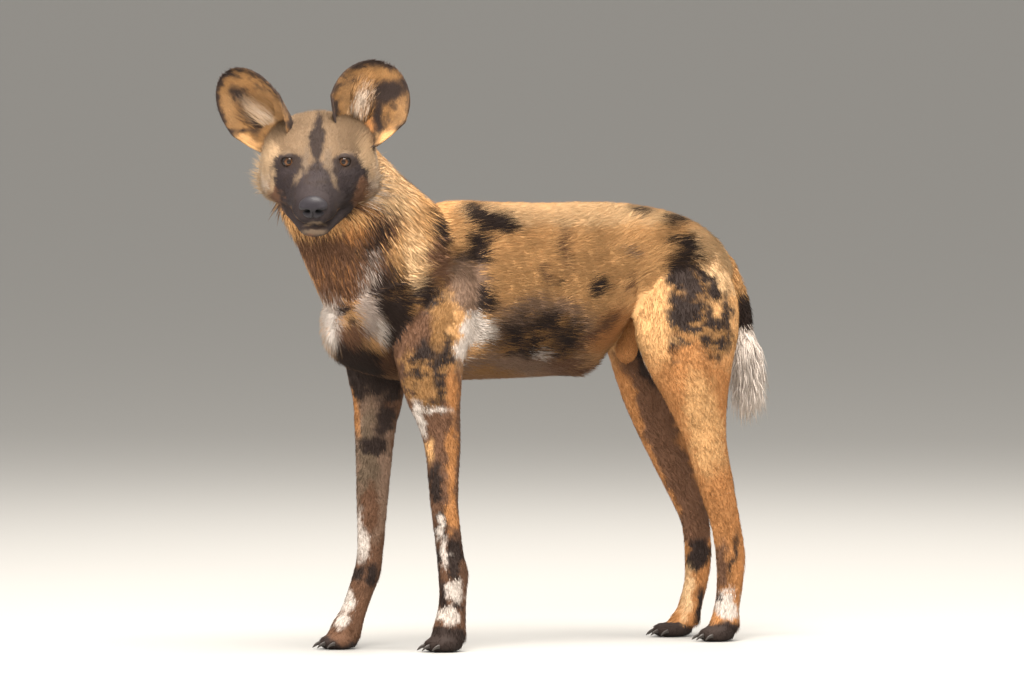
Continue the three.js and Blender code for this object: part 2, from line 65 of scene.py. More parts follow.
# The opening between the lids and the lids' outer edge, as angles seen from the middle of the eyeball
LID_HALF_WIDTH = math.radians(56)
LID_HALF_HEIGHT = math.radians(33)
LID_EDGE = math.radians(100)
HEAD_TURN = math.radians(57)
HEAD_DROP = math.radians(25)
LEVEL_FORWARD = np.array([math.sin(HEAD_TURN), -math.cos(HEAD_TURN), 0.0])
HEAD_SIDE = np.array([math.cos(HEAD_TURN), math.sin(HEAD_TURN), 0.0])
HEAD_FORWARD = LEVEL_FORWARD * math.cos(HEAD_DROP) - np.array([0, 0, math.sin(HEAD_DROP)])
HEAD_UP = np.cross(HEAD_FORWARD, HEAD_SIDE)
HEAD_AXES = np.array([HEAD_FORWARD, HEAD_SIDE, HEAD_UP])

# The photograph's view: 1.5 mm to a pixel at the dog, from 60 degrees to its left, 3 degrees up
PIXEL = 1.5
VIEW_TURN = math.radians(60)
VIEW_RISE = math.radians(3)
ORIGIN_PIXEL = (532.0, 645.0)
IMAGE_SIZE = (1024, 683)
VIEW_RIGHT = np.array([math.cos(VIEW_TURN), math.sin(VIEW_TURN), 0.0])
VIEW_BACK = np.array([
    math.sin(VIEW_TURN) * math.cos(VIEW_RISE),
    -math.cos(VIEW_TURN) * math.cos(VIEW_RISE),
    math.sin(VIEW_RISE),
])
VIEW_UP = np.cross(VIEW_BACK, VIEW_RIGHT)


def shift_of_frame():
    """Where the maker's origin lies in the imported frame, in metres: an eye's place there less its place
    here."""
    low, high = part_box("eye_left")
    middle = np.array((low + high) / 2)
    eye = EYE_LINE + HEAD_SIDE * EYE_SPACING / 2
    return middle - eye * MM


SHIFT = shift_of_frame()

# Torso sections: y, back, underline, half-width
TORSO = [
    [-346, 496, 468, 12], [-338, 532, 446, 42], [-318, 572, 428, 62], [-285, 612, 415, 76],
    [-240, 645, 405, 84], [-190, 664, 402, 88], [-133, 671, 401, 91], [-60, 668, 401, 94],
    [10, 665, 402, 94], [70, 665, 406, 90], [110, 664, 430, 84], [145, 662, 470, 77], [180, 658, 500, 73],
    [230, 648, 506, 74], [275, 630, 512, 70], [305, 604, 522, 58], [326, 572, 534, 38], [334, 556, 548, 12],
]

# Neck sections along its axis: x, y, z, half-width, reach to the nape, reach to the throat
NECK = [
    [0, -188, 550, 84, 106, 160], [0, -248, 598, 82, 98, 136], [3, -303, 655, 77, 86, 112],
    [9, -346, 706, 73, 78, 96], [20, -374, 748, 66, 70, 86],
]

# Leg sections from the root down: z, y, half-length, x, half-width
LEGS = {
    "foreleg_left": [
        [610, -158, 22, 52, 14], [570, -176, 46, 58, 26], [520, -196, 62, 63, 31], [460, -214, 64, 69, 31],
        [415, -217, 56, 74, 29], [377, -213, 47, 75, 26], [340, -203, 37, 74, 23.5],
        [301, -196, 30.5, 73, 21.5], [226, -193, 24.5, 72, 19.5], [151, -183, 23.5, 71, 19.5],
        [120, -176.5, 25.5, 70, 22.5], [92, -176, 23.5, 69, 21], [66, -177, 23.5, 68, 21.5],
        [40, -180, 27, 66, 24], [18, -181, 30, 65, 26],
    ],
    "foreleg_right": [
        [610, -160, 22, -52, 14], [570, -180, 46, -58, 26], [520, -202, 62, -63, 31],
        [460, -222, 62, -70, 31], [415, -226, 52, -74, 28], [370, -223, 43.5, -75, 25],
        [335, -227, 37, -75, 23.5], [295, -230, 32.5, -74, 22], [220, -234, 27, -73, 21],
        [146, -238, 22.5, -72, 19.5], [110, -245, 23.5, -71, 21.5], [84, -256, 22.5, -70, 20],
        [62, -266, 22.5, -69, 20.5], [38, -279, 26, -68, 23], [18, -286, 29, -68, 25],
    ],
    "hindleg_left": [
        [600, 238, 30, 40, 14], [565, 240, 66, 50, 24], [520, 236, 88, 58, 32], [470, 229, 92, 68, 36],
        [420, 229, 77, 75, 34], [365, 240.5, 55, 77, 28.5], [305, 257, 37.5, 75, 23.5],
        [244, 276, 32.5, 71, 21], [183, 295, 27.5, 68, 18.5], [150, 303, 26.5, 67, 18],
        [123, 307, 26, 66, 18.5], [78, 305.5, 22.5, 65, 18.5], [50, 301, 22, 65, 19.5],
        [32, 298, 25, 65, 22], [18, 296, 28, 65, 24],
    ],
    "hindleg_right": [
        [600, 240, 30, -40, 14], [565, 243, 66, -50, 24], [520, 243, 86, -58, 32], [470, 242, 84, -68, 36],
        [420, 246, 68, -74, 34], [358, 254, 52, -75, 28], [298, 272, 41, -72, 24.5],
        [237, 298, 34.5, -68, 22], [177, 320, 26, -64, 18.5], [147, 324, 24.5, -62, 17.5],
        [120, 325, 24, -61, 18], [86, 322, 21.5, -60, 17.5], [48, 311, 21, -60, 18.5],
        [32, 304, 25, -60, 21.5], [18, 299, 29, -60, 24],
    ],
}

# Paws: middle of the toes (x, y), half-length and half-width of the four toes together
PAWS = {
    "foreleg_left": (65, -188, 33, 28), "foreleg_right": (-68, -292, 33, 27),
    "hindleg_left": (65, 286, 31, 25), "hindleg_right": (-60, 283, 36, 26),
}
TOE_REACH = 0.62
# Toes: place across and back, as shares of the paw, and radius
TOES = [(-0.72, 0.28, 10.2), (-0.27, -0.02, 11.2), (0.27, -0.02, 11.2), (0.72, 0.28, 10.2)]

# Tail sections along its axis: x, y, z, half-width, reach behind, reach before
TAIL = [
    [0, 292, 598, 14, 18, 18], [0, 322, 572, 15, 16, 16], [0, 346, 535, 14, 14, 14],
    [0, 360, 502, 13, 13, 13], [0, 367, 474, 11, 11, 11], [0, 371, 444, 9, 9, 9], [0, 374, 412, 7, 7, 7],
    [0, 375, 386, 5, 5, 5], [0, 375, 372, 2, 2, 2],
]

# Head sections in the head's own frame: forward, top, bottom, half-width
SKULL = [
    [97, -22, -50, 12], [94, -14, -58, 21], [88, -8, -62, 27], [76, -3, -64, 31.5], [58, 1, -67, 36],
    [40, 6, -69, 42], [22, 12, -75, 52], [6, 20, -80, 62], [-12, 27, -88, 72], [-34, 33, -94, 81],
    [-58, 37, -95, 85], [-80, 38, -88, 81], [-100, 31, -62, 66], [-116, 17, -38, 40],
]
JAW = [
    [93, -67, -77, 9], [90, -64, -81, 17], [80, -61, -84, 24], [60, -57, -87, 32], [38, -51, -90, 42],
    [16, -47, -93, 52], [-10, -46, -95, 60],
]
# Raised and sunk forms of the face: forward, side, up, reach, height (both sides)
FACE_FORMS = [
    [-4, 36, 20, 13, 4.5], [8, 42, 0, 12, -5], [-22, 66, -18, 22, 4], [46, 36, -24, 16, -3],
    [72, 27, -52, 15, 3.5], [30, 12, 14, 14, -2], [-45, 60, -50, 30, 2], [60, 30, -13, 14, -2],
    [2, 52, -56, 30, 7], [36, 40, -56, 24, 4.5], [-34, 66, -78, 32, 5],
]
FACE_FORMS_MIDDLE = [[-28, 0, 34, 20, -3.5], [14, 0, 15, 12, -2.5], [-84, 0, 42, 16, 3]]

# Ears: base and tip offsets from the eye line (side, forward, up), outward turn, half-width
EARS = {
    "ear_left": ([56, -42, 26], [98, -54, 143], 8, 58),
    "ear_right": ([-60, -42, 20], [-139, -56, 127], -34, 57),
}
EAR_THICKNESS = 3.4

# Muscles and hollows of trunk and thighs, on both sides: y, z, half-length, half-height, tilt in degrees,
# height
RELIEF = [
    [-214, 596, 30, 58, 14, 4.5], [-236, 512, 34, 40, -20, 5], [-142, 548, 13, 66, 4, -5],
    [-168, 432, 12, 24, 0, -4], [-58, 545, 76, 70, 0, 3], [98, 560, 36, 56, 18, -7],
    [176, 628, 20, 20, 0, 5], [232, 520, 44, 72, 8, 5], [150, 500, 14, 52, 16, -6],
    [268, 560, 12, 46, -10, -3], [-262, 566, 9, 50, 10, -3], [60, 430, 60, 16, -8, 2],
]
RIB_SPACING = 23.0

FLESH_NODES = [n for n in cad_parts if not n.startswith("eye_") and n != "nose"]


class DogSettings(bpy.types.PropertyGroup):
    """Sizes and colours of the coat."""

    skin_voxel: bpy.props.FloatProperty(
        name="Body skin cell", description="Cell size of the body's skin before it is smoothed",
        default=0.0044, unit="LENGTH")
    face_voxel: bpy.props.FloatProperty(
        name="Face skin cell", description="Cell size of the head's skin",
        default=0.0017, unit="LENGTH")
    coat_length: bpy.props.FloatProperty(
        name="Coat length", description="Scale of every tuft's length", default=1.0, subtype="FACTOR")
    coat_tan: bpy.props.FloatVectorProperty(
        name="Tan", description="Ochre ground of the coat", subtype="COLOR", default=(0.64, 0.355, 0.15))
    coat_pale: bpy.props.FloatVectorProperty(
        name="Pale tan", description="Pale tan of back, neck and rump", subtype="COLOR",
        default=(0.72, 0.47, 0.25))
    coat_dark: bpy.props.FloatVectorProperty(
        name="Dark", description="Brown-black blotches", subtype="COLOR", default=(0.036, 0.024, 0.020))
    coat_white: bpy.props.FloatVectorProperty(
        name="White", description="White blotches and tail brush", subtype="COLOR",
        default=(0.66, 0.57, 0.50))
    coat_brown: bpy.props.FloatVectorProperty(
        name="Brown", description="Brown of throat and legs", subtype="COLOR",
        default=(0.155, 0.078, 0.045))
    coat_rust: bpy.props.FloatVectorProperty(
        name="Rust", description="Orange-tan of flank and thighs", subtype="COLOR",
        default=(0.47, 0.21, 0.075))
    coat_grey: bpy.props.FloatVectorProperty(
        name="Face grey", description="Grey-black of the mask", subtype="COLOR",
        default=(0.037, 0.027, 0.027))
    coat_cream: bpy.props.FloatVectorProperty(
        name="Cream", description="Cream of forehead, cheeks and ears", subtype="COLOR",
        default=(0.47, 0.32, 0.19))
    coat_ochre: bpy.props.FloatVectorProperty(
        name="Ochre", description="Ochre hair in the brindled parts", subtype="COLOR",
        default=(0.30, 0.155, 0.06))
    iris: bpy.props.FloatVectorProperty(
        name="Iris", description="Amber of the eyes", subtype="COLOR", default=(0.085, 0.036, 0.014))
    nose_tone: bpy.props.FloatVectorProperty(
        name="Nose", description="Grey-black of the nose pad", subtype="COLOR",
        default=(0.018, 0.015, 0.018))
    claw_tone: bpy.props.FloatVectorProperty(
        name="Claws", description="Dark horn of the claws", subtype="COLOR", default=(0.035, 0.028, 0.024))


class StageSettings(bpy.types.PropertyGroup):
    """Camera, floor and light."""

    distance: bpy.props.FloatProperty(
        name="Camera distance", description="Distance of the camera from the dog",
        default=30.0, unit="LENGTH")
    key_power: bpy.props.FloatProperty(
        name="Key light", description="Power of the main soft light", default=360.0, unit="POWER")
    fill_power: bpy.props.FloatProperty(
        name="Fill light", description="Power of each weaker soft light", default=110.0, unit="POWER")
    floor_tone: bpy.props.FloatVectorProperty(
        name="Floor", description="Colour of the pale floor", subtype="COLOR", default=(0.34, 0.33, 0.315))


def linear_rows(rows, steps):
    """Rows on Catmull-Rom curves through the given rows: Hermite blends with half the neighbours'
    difference as tangent, at `steps` places between each two rows."""
    rows = np.asarray(rows, float)
    last = len(rows) - 1
    out = []
    t = (np.arange(steps) / steps)[:, None]
    for r in range(last):
        before = (rows[r + 1] - rows[max(r - 1, 0)]) / 2
        after = (rows[min(r + 2, last)] - rows[r]) / 2
        out.append(rows[r] * (2 * t ** 3 - 3 * t ** 2 + 1) + rows[r + 1] * (3 * t ** 2 - 2 * t ** 3)
                   + before * (t ** 3 - 2 * t ** 2 + t) + after * (t ** 3 - t ** 2))
    out.append(rows[last:])
    return np.concatenate(out)


def oval(centre, side, up, half_width, top, bottom, count, square=2.0):
    """Ovals, one per row: centre + side * |cos a|^(2/square) * half_width + up * |sin a|^(2/square) *
    reach, where the reach is top above the centre and bottom below it."""
    a = np.arange(count) * 2 * np.pi / count
    c, s = np.cos(a), np.sin(a)
    across = np.sign(c) * np.abs(c) ** (2 / square)
    high = np.sign(s) * np.abs(s) ** (2 / square)
    reach = np.where(s > 0, np.asarray(top)[:, None], np.asarray(bottom)[:, None])
    return (centre[:, None] + side[:, None] * (across * np.asarray(half_width)[:, None])[..., None]
            + up[:, None] * (high * reach)[..., None])


def lengthwise(rings):
    """Direction of each ring point towards the next ring, of length one."""
    flow = np.gradient(rings, axis=0)
    return flow / np.maximum(np.linalg.norm(flow, axis=2, keepdims=True), 1e-6)


def skin_of(rings):
    """Points and faces of a closed skin over rings of equal count, with a fan at each end, turned
    outwards."""
    n, m = rings.shape[:2]
    points = np.concatenate([rings.reshape(-1, 3), rings[0].mean(0)[None], rings[-1].mean(0)[None]])
    r, i = np.meshgrid(np.arange(n - 1), np.arange(m), indexing="ij")
    j = (i + 1) % m
    quads = np.stack([r * m + i, r * m + j, (r + 1) * m + j, (r + 1) * m + i], -1).reshape(-1, 4)
    tris = np.concatenate([quads[:, [0, 1, 2]], quads[:, [0, 2, 3]]])
    k = np.arange(m)
    first = np.stack([np.full(m, n * m), (k + 1) % m, k], -1)
    end = (n - 1) * m
    last = np.stack([np.full(m, n * m + 1), end + k, end + (k + 1) % m], -1)
    tris = np.concatenate([tris, first, last])
    a, b, c = (points[tris[:, q]] - points.mean(0) for q in range(3))
    if np.einsum("ij,ij->i", a, np.cross(b, c)).sum() < 0:
        tris = tris[:, ::-1]
    return points, tris


def ring_band(rings):
    """Points and faces of a closed skin whose rings run round and meet the first one again."""
    n, m = rings.shape[:2]
    points = rings.reshape(-1, 3)
    r, i = np.meshgrid(np.arange(n), np.arange(m), indexing="ij")
    j, q = (i + 1) % m, (r + 1) % n
    quads = np.stack([r * m + i, r * m + j, q * m + j, q * m + i], -1).reshape(-1, 4)
    tris = np.concatenate([quads[:, [0, 1, 2]], quads[:, [0, 2, 3]]])
    a, b, c = (points[tris[:, k]] for k in range(3))
    if np.einsum("ij,ij->i", a, np.cross(b, c)).sum() < 0:
        tris = tris[:, ::-1]
    return points, tris


def in_head(local):
    """Points of the head's frame (forward, side, up) in the maker's frame."""
    return EYE_LINE + np.asarray(local, float) @ HEAD_AXES


def head_place(points):
    """Points of the maker's frame in the head's frame."""
    return (points - EYE_LINE) @ HEAD_AXES.T


def torso_rings(inset, count=72, steps=6):
    """Upright superelliptic sections along Y, each drawn in by the coat's depth."""
    rows = linear_rows(TORSO, steps)
    y, back, under, half = rows.T
    middle = under + (back - under) * 0.52
    centre = np.stack([0 * y, y, middle], -1)
    one = np.ones_like(y)
    side = np.stack([one, 0 * y, 0 * y], -1)
    up = np.stack([0 * y, 0 * y, one], -1)
    return oval(centre, side, up, np.maximum(half - inset, 3), np.maximum(back - middle - inset, 3),
                np.maximum(middle - under - inset, 3), count, 2.15)


def leg_rings(rows, inset, count=48, steps=5):
    """Level elliptical sections down the leg."""
    rows = linear_rows(rows, steps)
    z, y, length, x, width = rows.T
    centre = np.stack([x, y, z], -1)
    side = np.tile([1.0, 0, 0], (len(z), 1))
    up = np.tile([0.0, 1, 0], (len(z), 1))
    return oval(centre, side, up, np.maximum(width - inset, 3), np.maximum(length - inset, 3),
                np.maximum(length - inset, 3), count)


def tube_rings(rows, inset, count=56, steps=8):
    """Ovals square to a bent axis, with their width along X as nearly as the axis allows."""
    rows = linear_rows(rows, steps)
    centre = rows[:, :3]
    ahead = np.gradient(centre, axis=0)
    ahead /= np.linalg.norm(ahead, axis=1, keepdims=True)
    side = np.array([1.0, 0, 0]) - ahead * ahead[:, :1]
    side /= np.linalg.norm(side, axis=1, keepdims=True)
    up = np.cross(ahead, side)
    above, below = (np.maximum(rows[:, k] - inset, 2) for k in (4, 5))
    return oval(centre, side, up, np.maximum(rows[:, 3] - inset, 2), above, below, count)


def head_rings(rows, inset, formed, count=110, steps=9):
    """Sections of the head, each point then pushed outwards by the sum of height * exp(-distance^2 /
    reach^2) over the forms of the face."""
    rows = linear_rows(rows, steps)
    f, top, bottom, half = rows.T
    middle = (top + bottom) / 2 - (top - bottom) * 0.03
    centre = np.stack([f, 0 * f, middle], -1)
    side = np.tile([0.0, 1, 0], (len(f), 1))
    up = np.tile([0.0, 0, 1], (len(f), 1))
    rings = oval(centre, side, up, np.maximum(half - inset, 3), np.maximum(top - middle - inset, 3),
                 np.maximum(middle - bottom - inset, 3), count, 2.2)
    outward = (rings - centre[:, None]) / np.stack([np.ones_like(f), half, top - middle], -1)[:, None]
    outward[..., 0] = 0
    outward /= np.maximum(np.linalg.norm(outward, axis=2, keepdims=True), 1e-6)
    if formed:
        push = np.zeros(rings.shape[:2])
        forms = [[a, s * b, c, d, e] for a, b, c, d, e in FACE_FORMS for s in (1, -1)] + FACE_FORMS_MIDDLE
        for a, b, c, reach, height in forms:
            push += height * np.exp(-((rings - [a, b, c]) ** 2).sum(2) / reach ** 2)
        rings = rings + outward * push[..., None]
    return in_head(rings)


def eye_centre(side):
    """The middle of the left (1) or right (-1) eyeball."""
    return in_head([0, side * EYE_SPACING / 2, 0])


def turned_away(look, across, up, polar, turn):
    """Directions look * cos p + across * sin p * cos a + up * sin p * sin a, with p the polar angle and a
    the turn."""
    return (look * np.cos(polar)[..., None] + across * (np.sin(polar) * np.cos(turn))[..., None]
            + up * (np.sin(polar) * np.sin(turn))[..., None])


def ear_place(offset):
    """A place given as side, level forward and up from the eye line."""
    return EYE_LINE + offset[0] * HEAD_SIDE + offset[1] * LEVEL_FORWARD + np.array([0, 0, offset[2]])


def ear_rings(base, tip, turned, half_width, across=36, rows=44):
    """A cupped shell: rings of an outer arc and back along an inner arc, whose opening and radius change
    from base to tip."""
    foot, top = ear_place(base), ear_place(tip)
    axis = top - foot
    height = np.linalg.norm(axis)
    axis = axis / height
    ahead = LEVEL_FORWARD - axis * (LEVEL_FORWARD @ axis)
    ahead /= np.linalg.norm(ahead)
    turned = math.radians(turned)
    ahead = ahead * math.cos(turned) + np.cross(axis, ahead) * math.sin(turned)
    side = np.cross(axis, ahead)
    v = np.linspace(0, 1, rows + 1)
    rounded = np.sqrt(np.maximum(0, 1 - ((v - 0.5) / 0.515) ** 2))
    flare = 0.42 + 0.58 * np.minimum(1, v / 0.42) ** 0.8
    half = np.maximum(2.5, half_width * np.where(v < 0.5, flare, rounded))
    opening = np.radians(118 - 66 * np.minimum(1, v / 0.6) ** 0.8)
    radius = half / np.sin(np.minimum(opening, np.pi / 2))
    depth = 1 - 0.55 * v
    t = np.linspace(-1, 1, across + 1)
    wall = EAR_THICKNESS / 2
    arcs = []
    for offset, order in ((wall, t), (-wall, t[::-1])):
        a = opening[:, None] * order
        sideways = (radius[:, None] + offset) * np.sin(a)
        sunk = radius[:, None] * (np.cos(a) - np.cos(opening)[:, None]) + offset * np.cos(a)
        back = sunk * depth[:, None]
        spine = foot + axis * (v * height)[:, None, None]
        arcs.append(spine + side * sideways[..., None] - ahead * back[..., None])
    return np.concatenate(arcs, axis=1)


def ellipsoid(centre, axes, radii, across=32, down=24):
    """Points centre + radii * (sin p cos a, sin p sin a, cos p) along the axes."""
    p = np.linspace(0.02, np.pi - 0.02, down)[:, None]
    a = np.arange(across)[None] * 2 * np.pi / across
    unit = np.stack([np.sin(p) * np.cos(a), np.sin(p) * np.sin(a), np.cos(p) * np.ones_like(a)], -1)
    return np.asarray(centre, float) + (unit * np.asarray(radii, float)) @ np.asarray(axes, float)


def lid_rings(side):
    """A lid shell over the eyeball: polar angle from an almond opening out to 100 degrees, at changing
    radius."""
    count = 72
    centre = eye_centre(side)
    look = HEAD_FORWARD + HEAD_SIDE * side * 0.25 + HEAD_UP * 0.3
    look = look / np.linalg.norm(look)
    across = HEAD_SIDE - look * (HEAD_SIDE @ look)
    across /= np.linalg.norm(across)
    up = np.cross(look, across)
    up = up if up @ HEAD_UP > 0 else -up
    inner, outer = EYE_RADIUS + 0.3, EYE_RADIUS + 2.8
    rows = [
        (inner, 0), (outer - 0.6, 0), (outer, 0.12), (outer + 0.6, 0.5), (outer - 1, 1), (inner, 1),
        (inner, 0.5),
    ]
    a = np.arange(count) * 2 * np.pi / count
    opening = np.hypot(LID_HALF_WIDTH * np.cos(a), LID_HALF_HEIGHT * np.sin(a))
    rings = []
    for radius, along in rows:
        polar = opening + (LID_EDGE - opening) * along
        rings.append(centre + radius * turned_away(look, across, up, polar, a))
    return np.array(rings)


def new_object(name, points, faces, smooth=True):
    """An object from points in the maker's millimetres and triangles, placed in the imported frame's
    metres."""
    mesh = bpy.data.meshes.new(name)
    points = np.asarray(points, np.float32) * MM + SHIFT.astype(np.float32)
    faces = np.asarray(faces, np.int32)
    mesh.vertices.add(len(points))
    mesh.vertices.foreach_set("co", points.astype(np.float32).ravel())
    mesh.loops.add(faces.size)
    mesh.loops.foreach_set("vertex_index", faces.ravel())
    mesh.polygons.add(len(faces))
    mesh.polygons.foreach_set("loop_start", np.arange(len(faces), dtype=np.int32) * faces.shape[1])
    mesh.polygons.foreach_set("use_smooth", np.full(len(faces), smooth))
    mesh.update(calc_edges=True)
    mesh.validate()
    thing = bpy.data.objects.new(name, mesh)
    bpy.context.scene.collection.objects.link(thing)
    return thing


def joined(parts):
    """Points and faces of several closed skins in one list."""
    points, faces, start = [], [], 0
    for p, f in parts:
        points.append(p)
        faces.append(f + start)
        start += len(p)
    return np.concatenate(points), np.concatenate(faces)


def applied(thing):
    """The object with its modifiers worked into its mesh."""
    graph = bpy.context.evaluated_depsgraph_get()
    mesh = bpy.data.meshes.new_from_object(thing.evaluated_get(graph))
    thing.modifiers.clear()
    old = thing.data
    thing.data = mesh
    bpy.data.meshes.remove(old)
    return thing


def remeshed(thing, cell):
    """The object's parts fused into one skin of even cells."""
    step = thing.modifiers.new("fuse", "REMESH")
    step.mode = "VOXEL"
    step.voxel_size = cell
    step.use_smooth_shade = True
    return applied(thing)


def fused(thing, other, operation="UNION"):
    """The boolean of two closed skins. The second object is removed."""
    step = thing.modifiers.new("fuse", "BOOLEAN")
    step.operation = operation
    step.solver = "MANIFOLD"
    step.object = other
    applied(thing)
    bpy.data.objects.remove(other)
    return thing


def places(mesh):
    """A mesh's points in the maker's millimetres."""
    co = np.empty(len(mesh.vertices) * 3, np.float32)
    mesh.vertices.foreach_get("co", co)
    return (co.reshape(-1, 3).astype(float) - SHIFT) / MM


def set_places(mesh, points):
    """Puts points in the maker's millimetres back into a mesh."""
    mesh.vertices.foreach_set("co", (points * MM + SHIFT).astype(np.float32).ravel())
    mesh.update()


def edge_list(mesh):
    """The two ends of every edge."""
    ends = np.empty(len(mesh.edges) * 2, np.int32)
    mesh.edges.foreach_get("vertices", ends)
    return ends.reshape(-1, 2)


def relaxed(values, edges, rounds, share=0.5, weight=None):
    """Values moved towards the mean of their neighbours, `share` of the way each round."""
    values = np.array(values, float)
    count = len(values)
    near = np.bincount(edges.ravel(), minlength=count).astype(float)
    near = np.maximum(near, 1)
    flat = values.reshape(count, -1)
    one, other = edges.T
    for _ in range(rounds):
        sums = [np.bincount(one, column[other], count) + np.bincount(other, column[one], count)
                for column in flat.T]
        mean = np.stack(sums, -1) / near[:, None]
        step = (mean - flat) * share
        flat = flat + (step if weight is None else step * weight[:, None])
    return flat.reshape(values.shape)


# Kinds of coat: name, depth of the coat over the skin, tuft length, width, lift (mm, mm, mm, share)
KINDS = {
    "torso": (5.0, 22, 1.15, 0.32), "neck": (9.0, 31, 1.35, 0.34), "foreleg": (2.6, 11, 0.95, 0.22),
    "hindleg": (2.6, 12, 0.95, 0.22), "paw": (1.6, 6, 0.8, 0.2), "tail": (9.0, 40, 1.6, 0.3),
    "skull": (1.8, 7.5, 0.7, 0.26), "jaw": (1.5, 6, 0.7, 0.2), "ear": (0.0, 7, 0.75, 0.2),
    "scrotum": (1.0, 7, 1.0, 0.2),
}
KIND_NAMES = list(KINDS)


def body_parts():
    """The closed skins that the body is fused from, each with its kind, its flow and its unwrap."""
    parts = []

    def add(kind, rings, reverse=False):
        """Closes the rings to a skin, whose hair lies along the rows or, reversed, against them."""
        points, faces = skin_of(rings)
        flow = lengthwise(rings) * (-1 if reverse else 1)
        n, m = rings.shape[:2]
        along, round_ = np.meshgrid(np.linspace(0, 1, n), np.arange(m) / m, indexing="ij")
        parts.append(dict(kind=kind, points=points, faces=faces, flow=flow.reshape(-1, 3),
                          wrap=np.stack([round_, along], -1).reshape(-1, 2), count=n * m))

    add("torso", torso_rings(KINDS["torso"][0]))
    add("neck", tube_rings(NECK, KINDS["neck"][0]), reverse=True)
    for name, rows in LEGS.items():
        add(name.split("_")[0], leg_rings(rows, KINDS["foreleg"][0]))
        x, y, length, width = PAWS[name]
        for across, back, radius in TOES:
            toe = ellipsoid([x + across * width, y - length * (TOE_REACH - back) + 6, 10.5], np.eye(3),
                            [radius * 0.84 - 0.8, 18.2, radius + 0.4], 28, 20)
            add("paw", toe)
        add("paw", ellipsoid([x, y + 8, 9.4], np.eye(3), [width * 0.82 - 1, length * 0.62, 9.4], 28, 20))
    add("tail", tube_rings(TAIL, 0))
    add("scrotum", ellipsoid([-14, 172, 440], np.eye(3), [19, 18, 23]))
    add("scrotum", ellipsoid([-12, 178, 472], np.eye(3), [12, 14, 34]))
    return parts


def head_parts():
    """The closed skins of the head: skull with its face, and lower jaw."""
    parts = []
    for kind, rows, formed in (("skull", SKULL, True), ("jaw", JAW, False)):
        rings = head_rings(rows, KINDS[kind][0], formed)
        points, faces = skin_of(rings)
        n, m = rings.shape[:2]
        along, round_ = np.meshgrid(np.linspace(0, 1, n), np.arange(m) / m, indexing="ij")
        parts.append(dict(kind=kind, points=points, faces=faces, flow=lengthwise(rings).reshape(-1, 3),
                          wrap=np.stack([round_, along], -1).reshape(-1, 2), count=n * m))
    return parts


def ear_parts():
    """The two ears."""
    parts = []
    for base, tip, turned, half_width in EARS.values():
        rings = ear_rings(base, tip, turned, half_width)
        points, faces = skin_of(rings)
        n, m = rings.shape[:2]
        along, round_ = np.meshgrid(np.linspace(0, 1, n), np.arange(m) / m, indexing="ij")
        parts.append(dict(kind="ear", points=points, faces=faces, flow=lengthwise(rings).reshape(-1, 3),
                          wrap=np.stack([round_, along], -1).reshape(-1, 2), count=n * m))
    return parts


# Large primes that scatter the numbers of neighbouring cells
HASH_X, HASH_Y, HASH_Z, HASH_LAST = 73856093, 19349663, 83492791, 1274126177


def noise(points, cell, seed=0):
    """Smooth noise from -1 to 1: numbers hashed at the corners of cells `cell` wide, blended by 3t^2 -
    2t^3."""
    q = points / cell + seed * 17.31
    base = np.floor(q).astype(np.int64)
    t = q - base
    t = t * t * (3 - 2 * t)
    total = np.zeros(len(points))
    for dx in (0, 1):
        for dy in (0, 1):
            for dz in (0, 1):
                n = (base[:, 0] + dx) * HASH_X ^ (base[:, 1] + dy) * HASH_Y ^ (base[:, 2] + dz) * HASH_Z
                n = (n ^ (n >> 13)) * HASH_LAST & 0x7FFFFFFF
                value = (n % 65536) / 32767.5 - 1
                share = (np.abs(1 - dx - t[:, 0]) * np.abs(1 - dy - t[:, 1]) * np.abs(1 - dz - t[:, 2]))
                total += value * share
    return total


def photo_place(points, distance):
    """Pixels at which points of the maker's frame show in the photograph's view."""
    target_u = (IMAGE_SIZE[0] / 2 - ORIGIN_PIXEL[0]) * PIXEL
    target_v = (ORIGIN_PIXEL[1] - IMAGE_SIZE[1] / 2) * PIXEL
    near = distance / MM / (distance / MM - points @ VIEW_BACK)
    x = IMAGE_SIZE[0] / 2 + (points @ VIEW_RIGHT - target_u) * near / PIXEL
    y = IMAGE_SIZE[1] / 2 - (points @ VIEW_UP - target_v) * near / PIXEL
    return x, y


def ramp(low, high, value):
    """0 below low, 1 above high, smooth between."""
    t = np.clip((value - low) / (high - low), 0, 1)
    return t * t * (3 - 2 * t)


